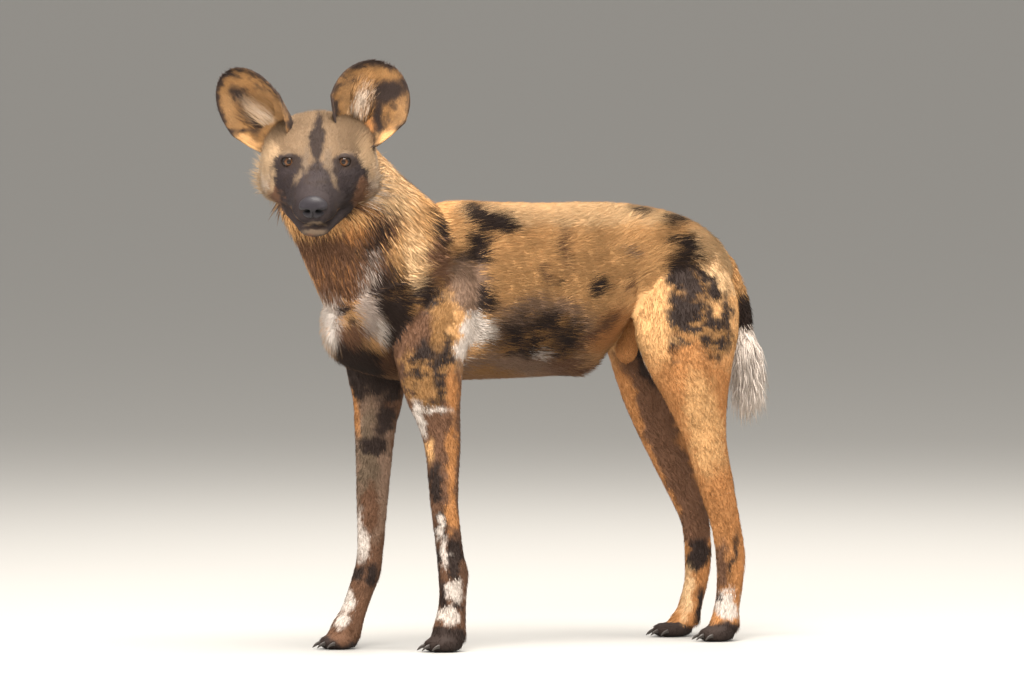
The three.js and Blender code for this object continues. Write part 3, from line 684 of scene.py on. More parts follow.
# Blotches on the side that the photograph shows: colour, place in its pixels, half-width, half-height,
# tilt in degrees with the right end down, raggedness, and the softness of the edge in pixels.
TORSO_BLOTCHES = [
    ("pale", 575, 214, 130, 14, 0, 1, 8), ("tan", 405, 244, 22, 46, -6, 1, 5),
    ("brown", 440, 265, 13, 30, -12, 1.4, 8), ("tan", 449, 222, 12, 24, -38, 1, 4),
    ("dark", 429, 216, 5, 10, -30, 1, 3), ("dark", 438, 231, 8, 16, -32, 1, 3),
    ("dark", 472, 208, 12, 4, 0, 1.4, 3), ("dark", 497, 224, 25, 12, 8, 1.4, 4),
    ("dark", 478, 219, 14, 8, 20, 1.2, 4), ("dark", 479, 250, 13, 17, -28, 1.4, 4),
    ("brindle", 462, 262, 11, 14, 0, 1.4, 5), ("greybrown", 470, 288, 22, 28, -12, 1.4, 7),
    ("dark", 486, 300, 9, 14, -10, 1.2, 5), ("brindle", 408, 300, 40, 34, 0, 1.5, 6),
    ("dark", 424, 290, 12, 15, 0, 1.6, 4), ("dark", 395, 312, 11, 14, 0, 1.4, 4),
    ("dark", 386, 282, 6, 20, 12, 1.2, 4), ("ochre", 441, 318, 11, 14, 20, 1.4, 4),
    ("brindle", 432, 355, 26, 38, 0, 1.5, 6), ("greybrown", 540, 336, 58, 38, -5, 1.4, 12),
    ("mottle", 540, 340, 48, 28, -5, 1.5, 10), ("dark", 510, 330, 13, 9, 30, 1.6, 6),
    ("dark", 548, 318, 12, 7, -20, 1.6, 6), ("dark", 566, 342, 12, 7, 20, 1.6, 6),
    ("dark", 527, 355, 18, 5, 0, 1.4, 5), ("brown", 556, 366, 42, 8, 4, 1.4, 5),
    ("greybrown", 500, 366, 50, 11, 2, 1.2, 7), ("ochre", 489, 371, 30, 4, 2, 1, 4),
    ("rust", 606, 330, 12, 26, 42, 1, 6), ("brown", 598, 330, 5, 24, 50, 1, 4),
    ("brown", 564, 247, 4, 21, -8, 1.2, 5), ("brown", 545, 273, 4, 10, -10, 1.2, 4),
    ("dark", 557, 282, 5, 3, 0, 1, 4), ("dark", 598, 287, 12, 6.5, -38, 1.2, 4),
    ("greybrown", 632, 251, 7, 4, 0, 1.2, 4), ("brown", 629, 283, 3, 9, 5, 1, 4),
    ("white", 477, 330, 16, 17, 20, 1, 3), ("white", 462, 350, 7, 12, 24, 1, 3),
    ("white", 540, 354, 8, 3, 0, 1, 3),
]
RUMP_BLOTCHES = [
    ("pale", 714, 256, 16, 38, -24, 1, 7), ("dark", 640, 209, 14, 5, 4, 1.4, 4),
    ("dark", 676, 219, 12, 8, 20, 1.4, 5), ("brindle", 686, 300, 26, 56, -6, 1.4, 8),
    ("dark", 688, 250, 13, 14, -10, 1.6, 4), ("dark", 672, 242, 8, 6, 0, 1.4, 4),
    ("dark", 680, 276, 10, 12, -20, 1.6, 4), ("dark", 690, 290, 8, 14, -20, 1.6, 4),
    ("dark", 680, 310, 8, 14, 0, 1.4, 4), ("dark", 706, 278, 11, 6, 30, 1.4, 4),
    ("dark", 716, 292, 6, 12, -30, 1.4, 4), ("dark", 728, 322, 5, 29, -2, 1.2, 4),
    ("dark", 702, 336, 5, 34, 3, 1.6, 4), ("dark", 676, 351, 8, 13, -14, 1.4, 4),
    ("brindle", 710, 338, 22, 26, 0, 1.5, 7), ("dark", 694, 358, 5, 12, 0, 1.4, 4),
    ("tan", 656, 300, 13, 44, -6, 1, 7),
]
# Painted shade: most of the chest's white patches are drawn in white darkened half to brown, for the shade on
# the chest
NECK_BLOTCHES = [
    ("tan", 398, 215, 26, 36, -20, 1, 8), ("cheek", 382, 188, 13, 28, -16, 1.2, 7),
    ("cheek", 262, 196, 12, 16, 20, 1, 6), ("pale", 388, 190, 20, 34, -28, 1, 9),
    ("pale", 412, 255, 12, 30, -8, 1, 8), ("brown", 376, 238, 17, 28, 20, 1.2, 8),
    ("rust", 350, 235, 16, 12, -20, 1, 8), ("redbrown", 325, 272, 42, 42, 8, 1, 9),
    ("brown", 372, 262, 18, 24, 10, 1.2, 8), ("dark", 375, 238, 8, 20, 28, 1.2, 6),
    ("dark", 380, 292, 9, 24, -8, 1.2, 6), ("shaded_white", 368, 284, 8, 30, 12, 1.2, 5),
    ("white", 329, 324, 9, 26, -8, 1.2, 6), ("shaded_white", 338, 318, 6, 20, 0, 1.2, 5),
    ("shaded_white", 372, 318, 9, 20, -16, 1, 5), ("white", 385, 336, 7, 13, -16, 1.2, 4),
    ("shaded_white", 364, 332, 9, 7, 0, 1, 4), ("dark", 345, 309, 7, 6, 0, 1, 4),
    ("dark", 354, 322, 5, 6, 0, 1, 4), ("dark", 345, 346, 12, 10, 0, 1, 5),
    ("dark", 362, 362, 28, 18, 14, 1, 6), ("brown", 394, 357, 12, 16, 30, 1, 6),
    ("brown", 318, 244, 40, 10, 0, 1, 6), ("brown", 352, 336, 14, 10, 10, 1, 6),
    ("white", 331, 330, 7, 22, -8, 1.2, 5), ("dark", 398, 330, 12, 26, 0, 1.2, 7),
]
FORELEG_BLOTCHES = [
    ("brown", 404, 346, 16, 34, 10, 1, 6), ("brindle", 430, 366, 26, 44, 0, 1.5, 8),
    ("brown", 420, 330, 20, 20, 0, 1.4, 8), ("rust", 452, 390, 7, 20, 0, 1, 4),
    ("dark", 436, 372, 4, 26, 0, 1.5, 4), ("ochre", 426, 388, 10, 14, 0, 1.3, 6),
    ("ochre", 440, 330, 8, 22, 10, 1.3, 6), ("dark", 424, 350, 7, 12, 10, 1.5, 5),
    ("white", 419, 420, 6, 17, -10, 1, 3), ("white", 436, 410, 13, 3, 0, 1, 3),
    ("brown", 437, 440, 12, 26, 0, 1, 4), ("dark", 436, 484, 7, 20, 0, 1, 3),
    ("rust", 452, 462, 4.5, 40, 0, 1, 3), ("tan", 430, 450, 4, 14, 0, 1, 3),
    ("dark", 440, 526, 8, 17, 20, 1.4, 3), ("rust", 452, 512, 6, 20, 0, 1.2, 3),
    ("white", 437, 530, 4, 14, 10, 1.6, 2), ("white", 446, 556, 6, 18, -14, 1.6, 2),
    ("dark", 457, 560, 6, 24, 0, 1.4, 3), ("dark", 437, 566, 5, 20, 0, 1.4, 3),
    ("white", 455, 592, 9, 10, 20, 1.2, 2), ("dark", 443, 596, 4, 14, 0, 1.2, 2),
    ("dark", 458, 606, 7, 4, 0, 1.2, 2), ("white", 448, 616, 11, 10, 0, 1, 2),
    ("dark", 449, 640, 24, 13, 0, 0.6, 3),
]
FAR_FORELEG_BLOTCHES = [
    ("dark", 372, 375, 36, 34, 10, 1, 6), ("greybrown", 372, 470, 24, 74, 0, 1, 5),
    ("fleck", 368, 470, 11, 60, 0, 1.4, 8), ("rust", 352, 410, 5, 24, -14, 1, 4),
    ("dark", 374, 446, 15, 10, 0, 1.2, 4), ("dark", 384, 420, 9, 18, 14, 1, 5),
    ("white", 363, 534, 8, 27, 4, 1, 3), ("brown", 370, 508, 9, 26, 0, 1, 4),
    ("dark", 358, 572, 6, 9, 20, 1, 3), ("dark", 372, 575, 6, 13, 10, 1, 3),
    ("white", 348, 601, 7, 13, 12, 1, 3), ("brown", 345, 632, 17, 12, 0, 0.8, 4),
    ("white", 343, 622, 6, 7, 20, 1, 3),
]
HINDLEG_BLOTCHES = [
    ("rust", 700, 430, 38, 84, -10, 1, 8), ("tan", 706, 430, 18, 60, -10, 1.2, 9),
    ("rust", 722, 505, 18, 40, -8, 1, 8), ("dark", 734, 556, 3.5, 26, 8, 1.3, 4),
    ("brown", 721, 566, 7, 24, 0, 1.2, 5), ("rust", 745, 570, 5, 14, 0, 1, 4),
    ("white", 727, 604, 14, 14, 0, 1.2, 3), ("dark", 716, 594, 4, 8, 0, 1, 3),
    ("dark", 724, 634, 23, 13, 0, 0.6, 3),
]
FAR_HINDLEG_BLOTCHES = [
    ("brown", 648, 400, 24, 64, -22, 1, 6), ("rust", 628, 400, 9, 40, -18, 1, 5),
    ("dark", 652, 352, 18, 36, -14, 1, 6), ("brown", 674, 470, 17, 48, -26, 1, 6),
    ("rust", 655, 470, 6, 40, -26, 1, 5), ("brown", 695, 520, 16, 38, -8, 1, 5),
    ("dark", 699, 556, 12, 17, 0, 1, 4), ("pale", 687, 594, 6, 25, 8, 1, 4),
    ("dark", 701, 606, 6, 22, 0, 1, 4), ("dark", 672, 637, 28, 13, 0, 0.6, 3),
]
FACE_BLOTCHES = [
    ("brow", 318, 150, 72, 66, 0, 0.6, 4), ("cheek", 258, 184, 13, 32, 8, 1, 6),
    ("cheek", 382, 184, 17, 38, -14, 1, 6), ("cream", 268, 160, 8, 20, 10, 1, 7),
    ("cream", 368, 158, 9, 22, -12, 1, 7), ("rust", 318, 206, 52, 36, 0, 0.8, 5),
    ("mask", 318, 206, 47, 34, 0, 0.6, 4), ("mask", 290, 178, 19, 24, -14, 0.6, 4),
    ("mask", 346, 178, 20, 24, 14, 0.6, 4), ("grey", 317, 192, 18, 30, 0, 0.6, 5),
    ("brown", 360, 196, 7, 18, 10, 1, 4), ("brown", 276, 200, 6, 18, -14, 1, 4),
    ("cream", 272, 182, 2.5, 12, 8, 0.8, 5), ("dark", 316.5, 138, 8.5, 14, 0, 0.5, 3),
    ("dark", 318, 125, 4, 12, 6, 0.5, 3), ("mask", 317, 176, 16, 12, 0, 0.6, 4),
    ("fleck", 306, 160, 4, 12, 8, 0.6, 4), ("fleck", 328, 160, 4, 12, -8, 0.6, 4),
    ("dark", 317, 152, 5, 10, 0, 0.5, 3), ("dark", 317.5, 164, 1.6, 8, 0, 0.5, 3),
    ("dark", 291, 161, 12, 7.5, -6, 0.4, 3), ("dark", 345.5, 161.5, 12, 7.5, 6, 0.4, 3),
    ("dark", 301, 169, 3.5, 4, 30, 0.4, 3), ("dark", 335, 170, 3.5, 4, -30, 0.4, 3),
    ("fleck", 298, 178, 2.2, 8, 24, 0.8, 4), ("fleck", 334, 180, 2.6, 9, -24, 0.8, 4),
    ("lip", 315, 232, 13, 3.2, 0, 0.5, 3), ("lip", 309, 224, 6, 1.6, -20, 0.4, 3),
    ("lip", 320, 224, 6, 1.6, 20, 0.4, 3), ("dark", 315, 228, 13, 1.2, 0, 0.3, 2),
    ("brown", 318, 244, 38, 8, 0, 0.8, 4),
]
EAR_BLOTCHES = [
    ("dark", 372, 100, 60, 60, 0, 0.3, 3), ("earbrown", 371, 101, 34, 36, 0, 0.5, 6),
    ("ochre", 378, 76, 19, 6, 0, 0.8, 6), ("eartan", 349, 99, 8, 18, 0, 0.8, 6),
    ("dark", 389, 92, 17, 12, -8, 0.8, 7), ("dark", 378, 118, 6, 22, 4, 0.8, 5),
    ("eartan", 400, 114, 6, 16, 20, 0.8, 7), ("tan", 389, 139, 12, 8, -20, 0.8, 7),
    ("rust", 367, 126, 7, 10, 0, 0.8, 6), ("cheek", 361, 101, 7, 14, 18, 1.3, 6),
    ("dark", 258, 108, 60, 60, -30, 0.3, 3), ("earbrown", 253, 110, 27, 43, -34, 0.5, 6),
    ("ochre", 243, 81, 14, 5, 12, 0.8, 6), ("dark", 241, 95, 12, 7, 38, 0.8, 6),
    ("dark", 249, 119, 4, 16, -30, 0.8, 5), ("eartan", 231, 111, 7, 18, -16, 0.8, 6),
    ("eartan", 271, 103, 8, 20, -40, 0.8, 6), ("tan", 249, 143, 14, 7, 34, 0.8, 6),
    ("cream", 259, 112, 8, 16, -44, 1.3, 6), ("cheek", 260, 110, 3, 13, -44, 1.3, 4),
]


def streaks(points, seed):
    """Noise drawn out along the lie of the trunk's coat, for brindled hair."""
    return noise(points * [1, 0.42, 1], 7, seed) + 0.6 * noise(points * [1, 0.35, 1], 3.2, seed + 1)


# Mixed coats: the colour that breaks through, and the two levels of the streaks between which it does
MIXES = {
    "brindle": ("ochre", "dark", -0.45, 0.12), "mottle": ("ochre", "dark", -0.5, 0.0),
    "redbrown": ("rust", "brown", -1.0, -0.1),
    "mask": ("grey", "dark", -0.2, 1.2), "earbrown": ("ochre", "dark", -0.5, 1.1),
}


def blotched(colour, points, x, y, seen, blotches, palette):
    """Colours with each blotch mixed over them: a tilted ellipse in the view's pixels whose edge noise
    wanders."""
    broad, broad_y = noise(points, 16, 3), noise(points, 16, 8)
    fine, fine_y = noise(points, 5.5, 4), noise(points, 5.5, 9)
    hairs = streaks(points, 21)
    for name, cx, cy, half_w, half_h, tilt, ragged, soft in blotches:
        a = math.radians(tilt)
        dx = x - cx + ragged * (3.4 * broad + 2.4 * fine)
        dy = y - cy + ragged * (3.4 * broad_y + 2.4 * fine_y)
        across = (dx * math.cos(a) + dy * math.sin(a)) / half_w
        down = (-dx * math.sin(a) + dy * math.cos(a)) / half_h
        gap = np.hypot(across, down) + 0.16 * ragged * hairs
        edge = min(0.7, soft / (2 * min(half_w, half_h)) + 0.04)
        share = (1 - ramp(1 - edge, 1 + edge, gap)) * seen
        if name in MIXES:
            first, second, low, high = MIXES[name]
            blend = ramp(low, high, hairs)[:, None]
            target = palette[first] + (palette[second] - palette[first]) * blend
        else:
            target = palette[name]
        colour = colour + (target - colour) * share[:, None]
    return colour


def coat_palette(settings):
    """The colours of the coat by name: nine plain ones, and seven made up of shares of those."""
    plain = ("tan", "pale", "dark", "white", "brown", "rust", "grey", "ochre", "cream")
    palette = {name: np.array(getattr(settings, f"coat_{name}")) for name in plain}
    shares = {
        # Painted shade: white darkened half to brown, for the white patches of the chest, which lie in shade
        "shaded_white": (("white", 0.5), ("brown", 0.5)),
        "lip": (("grey", 0.72), ("cream", 0.28)),
        "greybrown": (("brown", 0.75), ("white", 0.12), ("tan", 0.08)),
        "brow": (("cream", 0.34), ("brown", 0.2)),
        "fleck": (("grey", 0.6), ("cream", 0.28)),
        "cheek": (("cream", 0.55), ("white", 0.45)),
        "eartan": (("ochre", 0.75), ("cream", 0.1)),
    }
    for name, parts in shares.items():
        palette[name] = sum(palette[part] * share for part, share in parts)
    return palette


# Above this height the markings of the trunk run on over the near legs
LEG_TOP = 380
# The side in view goes over into the other one where the skin's direction, measured along the view, is between
TURN_OF_SIDES = (-0.12, 0.16)


def coat_colours(points, normal, kind, settings, distance):
    """The markings: a ground colour for each kind of coat, the blotches of the side in view, and seeded
    blotches of noise on the other."""
    palette = coat_palette(settings)
    is_kind = {name: kind == i for i, name in enumerate(KIND_NAMES)}
    ground = {
        "torso": "tan", "neck": "tan", "foreleg": "brown", "hindleg": "rust", "paw": "dark",
        "tail": "tan", "skull": "cream", "jaw": "grey", "ear": "dark", "scrotum": "rust",
    }
    colour = np.zeros((len(points), 3))
    for name, mask in is_kind.items():
        colour[mask] = palette[ground[name]]
    z = points[:, 2]
    height = ramp(430, 560, z)
    on_body = is_kind["torso"] | is_kind["neck"]
    low = (1 - height) * on_body * 0.3 + ramp(440, 402, z) * is_kind["torso"] * 0.5
    colour += (palette["brown"] - colour) * low[:, None]
    thigh = ramp(385, 455, z + 14 * noise(points, 20, 5)) * is_kind["hindleg"]
    colour += (palette["tan"] - colour) * thigh[:, None]
    shoulder = ramp(410, 470, z + 14 * noise(points, 20, 6)) * is_kind["foreleg"]
    colour += (palette["tan"] - colour) * shoulder[:, None]
    x, y = photo_place(points, distance)
    seen = ramp(*TURN_OF_SIDES, normal @ VIEW_BACK)

    other = noise(points * [0.6, 1, 1], 42, 31) + 0.45 * noise(points, 17, 32) + 0.2 * noise(points, 7, 33)
    pale_other = noise(points * [0.6, 1, 1], 36, 41) + 0.35 * noise(points, 14, 42)
    hidden = (1 - seen) * (on_body | is_kind["foreleg"] | is_kind["hindleg"])
    colour += (palette["dark"] - colour) * (ramp(0.16, 0.3, other) * hidden)[:, None]
    colour += (palette["white"] - colour) * (ramp(0.66, 0.76, pale_other) * hidden)[:, None]

    near = points[:, 0] > 0
    fore = (is_kind["foreleg"] | is_kind["paw"]) & (points[:, 1] < 0)
    hind = (is_kind["hindleg"] | is_kind["paw"]) & (points[:, 1] > 0)
    upper_legs = near & (z > LEG_TOP) & (is_kind["foreleg"] | is_kind["hindleg"])
    groups = [
        (on_body | upper_legs, TORSO_BLOTCHES + RUMP_BLOTCHES),
        (on_body, NECK_BLOTCHES), (fore & near, FORELEG_BLOTCHES), (fore & ~near, FAR_FORELEG_BLOTCHES),
        (hind & near, HINDLEG_BLOTCHES), (hind & ~near, FAR_HINDLEG_BLOTCHES),
        (is_kind["skull"] | is_kind["jaw"], FACE_BLOTCHES),
        (is_kind["ear"], EAR_BLOTCHES),
    ]
    for mask, blotches in groups:
        if mask.any():
            own = [values[mask] for values in (colour, points, x, y, seen)]
            colour[mask] = blotched(*own, blotches, palette)

    tail = is_kind["tail"]
    band = ramp(458, 470, z) * (1 - ramp(512, 526, z)) * tail
    brush = (1 - ramp(462, 472, z)) * tail
    colour += (palette["dark"] - colour) * band[:, None]
    colour += (palette["white"] - colour) * brush[:, None]
    shade = 1 + 0.12 * noise(points, 24, 51) + 0.10 * noise(points, 8, 52)
    return np.clip(colour * shade[:, None], 0.004, 0.95)


def corner_colours(mesh, name, colours):
    """A colour for each point of a mesh."""
    layer = mesh.color_attributes.new(name, "FLOAT_COLOR", "POINT")
    rgba = np.ones((len(colours), 4), np.float32)
    rgba[:, :3] = colours
    layer.data.foreach_set("color", rgba.ravel())


# A long tuft: seven points as (share of its length, share of its width across, share of its width up)
LONG_POINTS = np.array([
    [0, -0.5, 0], [0, 0.5, 0], [0, 0, 0.3], [0.5, -0.45, 0], [0.5, 0.45, 0], [0.5, 0, 0.25], [1, 0, 0],
])
LONG_FACES = np.array([
    [0, 1, 2], [0, 3, 1], [1, 3, 4], [1, 4, 2], [2, 4, 5], [2, 5, 0], [0, 5, 3],
    [3, 6, 4], [4, 6, 5], [5, 6, 3],
])
# A short tuft: a thin wedge of four points, widest a little way from its root
SHORT_POINTS = np.array([[0.0, -0.5, 0], [0.12, 0.5, 0], [0.06, 0, 0.35], [1, 0, 0]])
SHORT_FACES = np.array([[0, 1, 2], [0, 3, 1], [1, 3, 2], [2, 3, 0]])
# A tuft's own patch of the unwrap, and how much of its band each part's unwrap fills
TUFT_PATCH = 0.003
WRAP_FILL = 0.99


def tufts_on(chosen, count, rng):
    """Roots drawn evenly over the chosen faces, with the skin's numbers carried to them."""
    faces, area = WORK["faces"], WORK["area"]
    weight = area * chosen
    picked = rng.choice(len(faces), count, p=weight / weight.sum())
    a, b = np.sort(rng.random((2, count)), axis=0)
    share = np.stack([a, b - a, 1 - b], -1)
    corner = faces[picked]

    def carried(values):
        """The skin's values at the roots, mixed from the corners of their faces."""
        values = values[corner]
        return (values * share.reshape(count, 3, *[1] * (values.ndim - 2))).sum(1)

    root = {name: carried(WORK[name]) for name in ("points", "normal", "lie", "length", "width", "lift")}
    for name in ("normal", "lie"):
        root[name] /= np.maximum(np.linalg.norm(root[name], axis=1, keepdims=True), 1e-6)
    root["kind"] = WORK["kind"][corner[:, 0]]
    root["part"] = WORK["part"][corner[:, 0]]
    wrap = WORK["wrap"][corner]
    turn = wrap[:, 1:] - wrap[:, :1]
    turn[..., 0] -= np.round(turn[..., 0])
    root["wrap"] = wrap[:, 0] + (turn * share[:, 1:, None]).sum(1)
    root["wrap"][:, 0] %= 1
    return root


# Long pale hair in the ears: place in the photograph's pixels, half-width, half-height
EAR_TUFTS = ((361, 104, 12, 22), (258, 114, 18, 16))


def styled(root, distance):
    """Lengths and lifts where the coat is longer: ruff, throat, breast, brush, belly edge and the hair in
    the ears."""
    points, kind = root["points"], root["kind"]
    length, lift, width = root["length"].copy(), root["lift"].copy(), root["width"].copy()
    lie = root["lie"].copy()
    name = {k: kind == i for i, k in enumerate(KIND_NAMES)}
    face = head_place(points)
    cheek = (name["skull"] | name["jaw"]) * ramp(10, -45, face[:, 0]) * ramp(30, 60, np.abs(face[:, 1]))
    cheek = cheek * ramp(-26, -66, face[:, 2])
    length += 22 * cheek
    lift += 0.42 * cheek
    outward = HEAD_SIDE * 0.75 * np.sign(face[:, 1:2]) - HEAD_UP * 0.6
    lie = lie * (1 - 0.6 * cheek)[:, None] + outward * cheek[:, None]
    for foot, _, _, _ in EARS.values():
        at_ear = np.exp(-((points - ear_place(foot)) ** 2).sum(1) / 32 ** 2) * name["skull"]
        length += 13 * at_ear
        lift += 0.35 * at_ear
    back = name["skull"] * ramp(-30, -90, face[:, 0])
    length += 7 * back
    muzzle = ramp(35, 60, face[:, 0]) * (name["skull"] | name["jaw"])
    length -= 3 * muzzle
    ruff = name["neck"] * ramp(620, 700, points[:, 2])
    length += 8 * ruff
    lift += 0.12 * ruff
    belly = name["torso"] * ramp(430, 405, points[:, 2]) * ramp(20, 60, points[:, 1])
    length += 14 * belly
    lift += 0.1 * belly
    brush = name["tail"] * ramp(480, 455, points[:, 2])
    length = np.where(name["tail"], 24 + 34 * brush, length)
    lift = np.where(name["tail"], 0.22 + 0.36 * brush, lift)
    width = width + 0.4 * brush
    x, y = photo_place(points, distance)
    seen = root["normal"] @ VIEW_BACK > 0.1
    for cx, cy, half_w, half_h in EAR_TUFTS:
        inner = name["ear"] & seen & (np.hypot((x - cx) / half_w, (y - cy) / half_h) < 1)
        length = np.where(inner, 27, length)
        lift = np.where(inner, 0.42, lift)
        width = np.where(inner, 1.1, width)
    down = np.array([0, 0, -1.0])
    breast = ramp(-250, -300, points[:, 1]) * name["torso"]
    hang = (0.25 * name["neck"] + 0.3 * brush + 0.5 * belly + 1.1 * breast)[:, None]
    lie = lie + down * hang
    return length, lift, width, lie


def root_wrap(root):
    """Each root's place on the unwrap of its own part of the skin. The parts' unwraps lie one above another,
    in bands as tall as their shares of the roots."""
    wrap = root["wrap"].copy()
    low = 0.0
    for part in np.unique(root["part"]):
        mask = root["part"] == part
        tall = mask.mean()
        for axis in (0, 1):
            values = wrap[mask, axis]
            span = max(values.max() - values.min(), 1e-6)
            wrap[mask, axis] = (values - values.min()) / span * WRAP_FILL
        wrap[mask, 1] = low + wrap[mask, 1] * tall
        low += tall
    return wrap


def tuft_mesh(name, root, settings, distance, rng, long_hair):
    """All tufts of one coat piece, long or short ones. A point lies `share` of the length along the lie,
    raised by length * lift * share * (1.15 - 0.6 share), and across by its share of the width."""
    count = len(root["points"])
    normal = root["normal"]
    length, lift, width, lie = styled(root, distance)
    swirl = np.stack([noise(root["points"], 26, 60 + k) for k in range(3)], -1)
    lie = lie + 0.28 * swirl + rng.normal(0, 0.16, (count, 3))
    lie -= normal * np.einsum("ij,ij->i", lie, normal)[:, None]
    lie /= np.maximum(np.linalg.norm(lie, axis=1, keepdims=True), 1e-6)
    across = np.cross(lie, normal)
    length = length * settings.coat_length * rng.uniform(0.75, 1.2, count)
    lift = lift * rng.uniform(0.5, 1.5, count)
    width = width * rng.uniform(0.8, 1.2, count)
    shape, corners = (LONG_POINTS, LONG_FACES) if long_hair else (SHORT_POINTS, SHORT_FACES)
    t = shape[:, 0]
    rise = (length * lift)[:, None] * t * (1.15 - 0.6 * t) - 0.8 * (1 - t)
    points = (root["points"][:, None] + lie[:, None] * (length[:, None] * t)[..., None]
              + across[:, None] * (width[:, None] * shape[:, 1])[..., None]
              + normal[:, None] * (rise + width[:, None] * shape[:, 2])[..., None])
    points[..., 2] = np.maximum(points[..., 2], 0.4)
    faces = (np.arange(count)[:, None, None] * len(shape) + corners).reshape(-1, 3)
    thing = new_object(name, points.reshape(-1, 3), faces)

    astray = rng.normal(0, 0.17, (count, 3)) * length[:, None]
    middle = root["points"] + lie * (length * 0.55)[:, None] + astray
    colour = coat_colours(middle, normal, root["kind"], settings, distance)
    colour *= rng.uniform(0.88, 1.12, (count, 1))
    # Painted shade: each tuft is drawn darker at its root, where the coat shades it, and lighter towards its
    # tip
    along = (0.80 + 0.30 * t)[None, :, None]
    corner_colours(thing.data, "coat", (colour[:, None] * along).reshape(-1, 3))

    patch = np.stack([shape[:, 1] + 0.5, t], -1) * TUFT_PATCH
    uv = (root_wrap(root)[:, None] * (1 - TUFT_PATCH) + patch).reshape(-1, 2)
    layer = thing.data.uv_layers.new(name="OFBake")
    layer.data.foreach_set("uv", uv[faces.ravel()].astype(np.float32).ravel())
    return thing


def tone_group():
    """Hair tone: makes a colour lighter and darker in fine streaks by the amount given."""
    group = bpy.data.node_groups.get("hair_tone")
    if group:
        return group
    group = bpy.data.node_groups.new("hair_tone", "ShaderNodeTree")
    face = group.interface
    face.new_socket("Colour", in_out="INPUT", socket_type="NodeSocketColor")
    face.new_socket("Amount", in_out="INPUT", socket_type="NodeSocketFloat")
    face.new_socket("Scale", in_out="INPUT", socket_type="NodeSocketFloat")
    face.new_socket("Colour", in_out="OUTPUT", socket_type="NodeSocketColor")
    face.new_socket("Height", in_out="OUTPUT", socket_type="NodeSocketFloat")
    nodes, links = group.nodes, group.links
    start, end = nodes.new("NodeGroupInput"), nodes.new("NodeGroupOutput")
    place = nodes.new("ShaderNodeTexCoord")
    wave = nodes.new("ShaderNodeTexNoise")
    wave.inputs["Detail"].default_value = 6
    half = nodes.new("ShaderNodeMath")
    half.operation = "SUBTRACT"
    half.inputs[1].default_value = 0.5
    gain = nodes.new("ShaderNodeMath")
    gain.operation = "MULTIPLY_ADD"
    gain.inputs[2].default_value = 1
    tone = nodes.new("ShaderNodeVectorMath")
    tone.operation = "SCALE"
    links.new(place.outputs["Object"], wave.inputs["Vector"])
    links.new(start.outputs["Scale"], wave.inputs["Scale"])
    links.new(wave.outputs["Fac"], half.inputs[0])
    links.new(half.outputs[0], gain.inputs[0])
    links.new(start.outputs["Amount"], gain.inputs[1])
    links.new(start.outputs["Colour"], tone.inputs[0])
    links.new(gain.outputs[0], tone.inputs["Scale"])
    links.new(tone.outputs[0], end.inputs["Colour"])
    links.new(wave.outputs["Fac"], end.inputs["Height"])
    return group


def painted(name, amount, scale, rough, specular, bump, wet=0.0):
    """A material whose colour is the mesh's coat colour, toned in fine streaks."""
    material = bpy.data.materials.new(name)
    material.use_nodes = True
    nodes, links = material.node_tree.nodes, material.node_tree.links
    shader = nodes["Principled BSDF"]
    shader.inputs["Roughness"].default_value = rough
    shader.inputs["Specular IOR Level"].default_value = specular
    shader.inputs["Coat Weight"].default_value = wet
    shader.inputs["Coat Roughness"].default_value = 0.05
    colour = nodes.new("ShaderNodeVertexColor")
    colour.layer_name = "coat"
    tone = nodes.new("ShaderNodeGroup")
    tone.node_tree = tone_group()
    tone.inputs["Amount"].default_value = amount
    tone.inputs["Scale"].default_value = scale
    relief = nodes.new("ShaderNodeBump")
    relief.inputs["Strength"].default_value = bump
    relief.inputs["Distance"].default_value = 0.001
    links.new(colour.outputs["Color"], tone.inputs["Colour"])
    links.new(tone.outputs["Colour"], shader.inputs["Base Color"])
    links.new(tone.outputs["Height"], relief.inputs["Height"])
    links.new(relief.outputs["Normal"], shader.inputs["Normal"])
    return material


# What the operators hand on to one another
WORK = {}

SOLE_GAP = 0.2
# The skin is smoothed less below this height, over this blend, and behind this line, where the tail hangs
SLIM_BELOW, SLIM_BLEND, SLIM_BEHIND = 330, 120, 335


def above_floor(points):
    """Points with none lower than the soles' small gap over the floor."""
    points[:, 2] = np.maximum(points[:, 2], SOLE_GAP)
    return points


def body_skin(parts, settings):
    """The body's parts fused and relaxed, fully from the elbows up and a quarter as much on lower legs and
    tail, then given its muscles."""
    points, faces = joined([(p["points"], p["faces"]) for p in parts])
    thing = remeshed(new_object("skin", points, faces), settings.skin_voxel)
    at = places(thing.data)
    share = np.clip((at[:, 2] - SLIM_BELOW) / SLIM_BLEND, 0, 1)
    share[at[:, 1] > SLIM_BEHIND] = 0
    at = above_floor(relaxed(at, edge_list(thing.data), 14, 0.5, 0.25 + 0.75 * share))
    set_places(thing.data, at)
    set_places(thing.data, above_floor(relieved(at, point_normals(thing.data))))
    return thing


def head_skin(parts, settings):
    """The head's parts fused, with sockets cut for the eyeballs and lids laid round them."""
    radii = [EYE_RADIUS + SOCKET_GAP] * 3
    balls = [skin_of(ellipsoid(eye_centre(s), np.eye(3), radii, 48, 40)) for s in (1, -1)]
    lids = joined([ring_band(lid_rings(s)) for s in (1, -1)])
    points, faces = joined([(p["points"], p["faces"]) for p in parts])
    skull = remeshed(new_object("head_skin", points, faces), settings.face_voxel)
    for ball in balls:
        fused(skull, new_object("socket", *ball), "DIFFERENCE")
    lidded = joined([mesh_arrays(skull), lids])
    bpy.data.objects.remove(skull)
    skull = remeshed(new_object("head_skin", *lidded), settings.face_voxel)
    set_places(skull.data, relaxed(places(skull.data), edge_list(skull.data), 4, 0.5))
    for ball in balls:
        fused(skull, new_object("socket", *ball), "DIFFERENCE")
    return skull


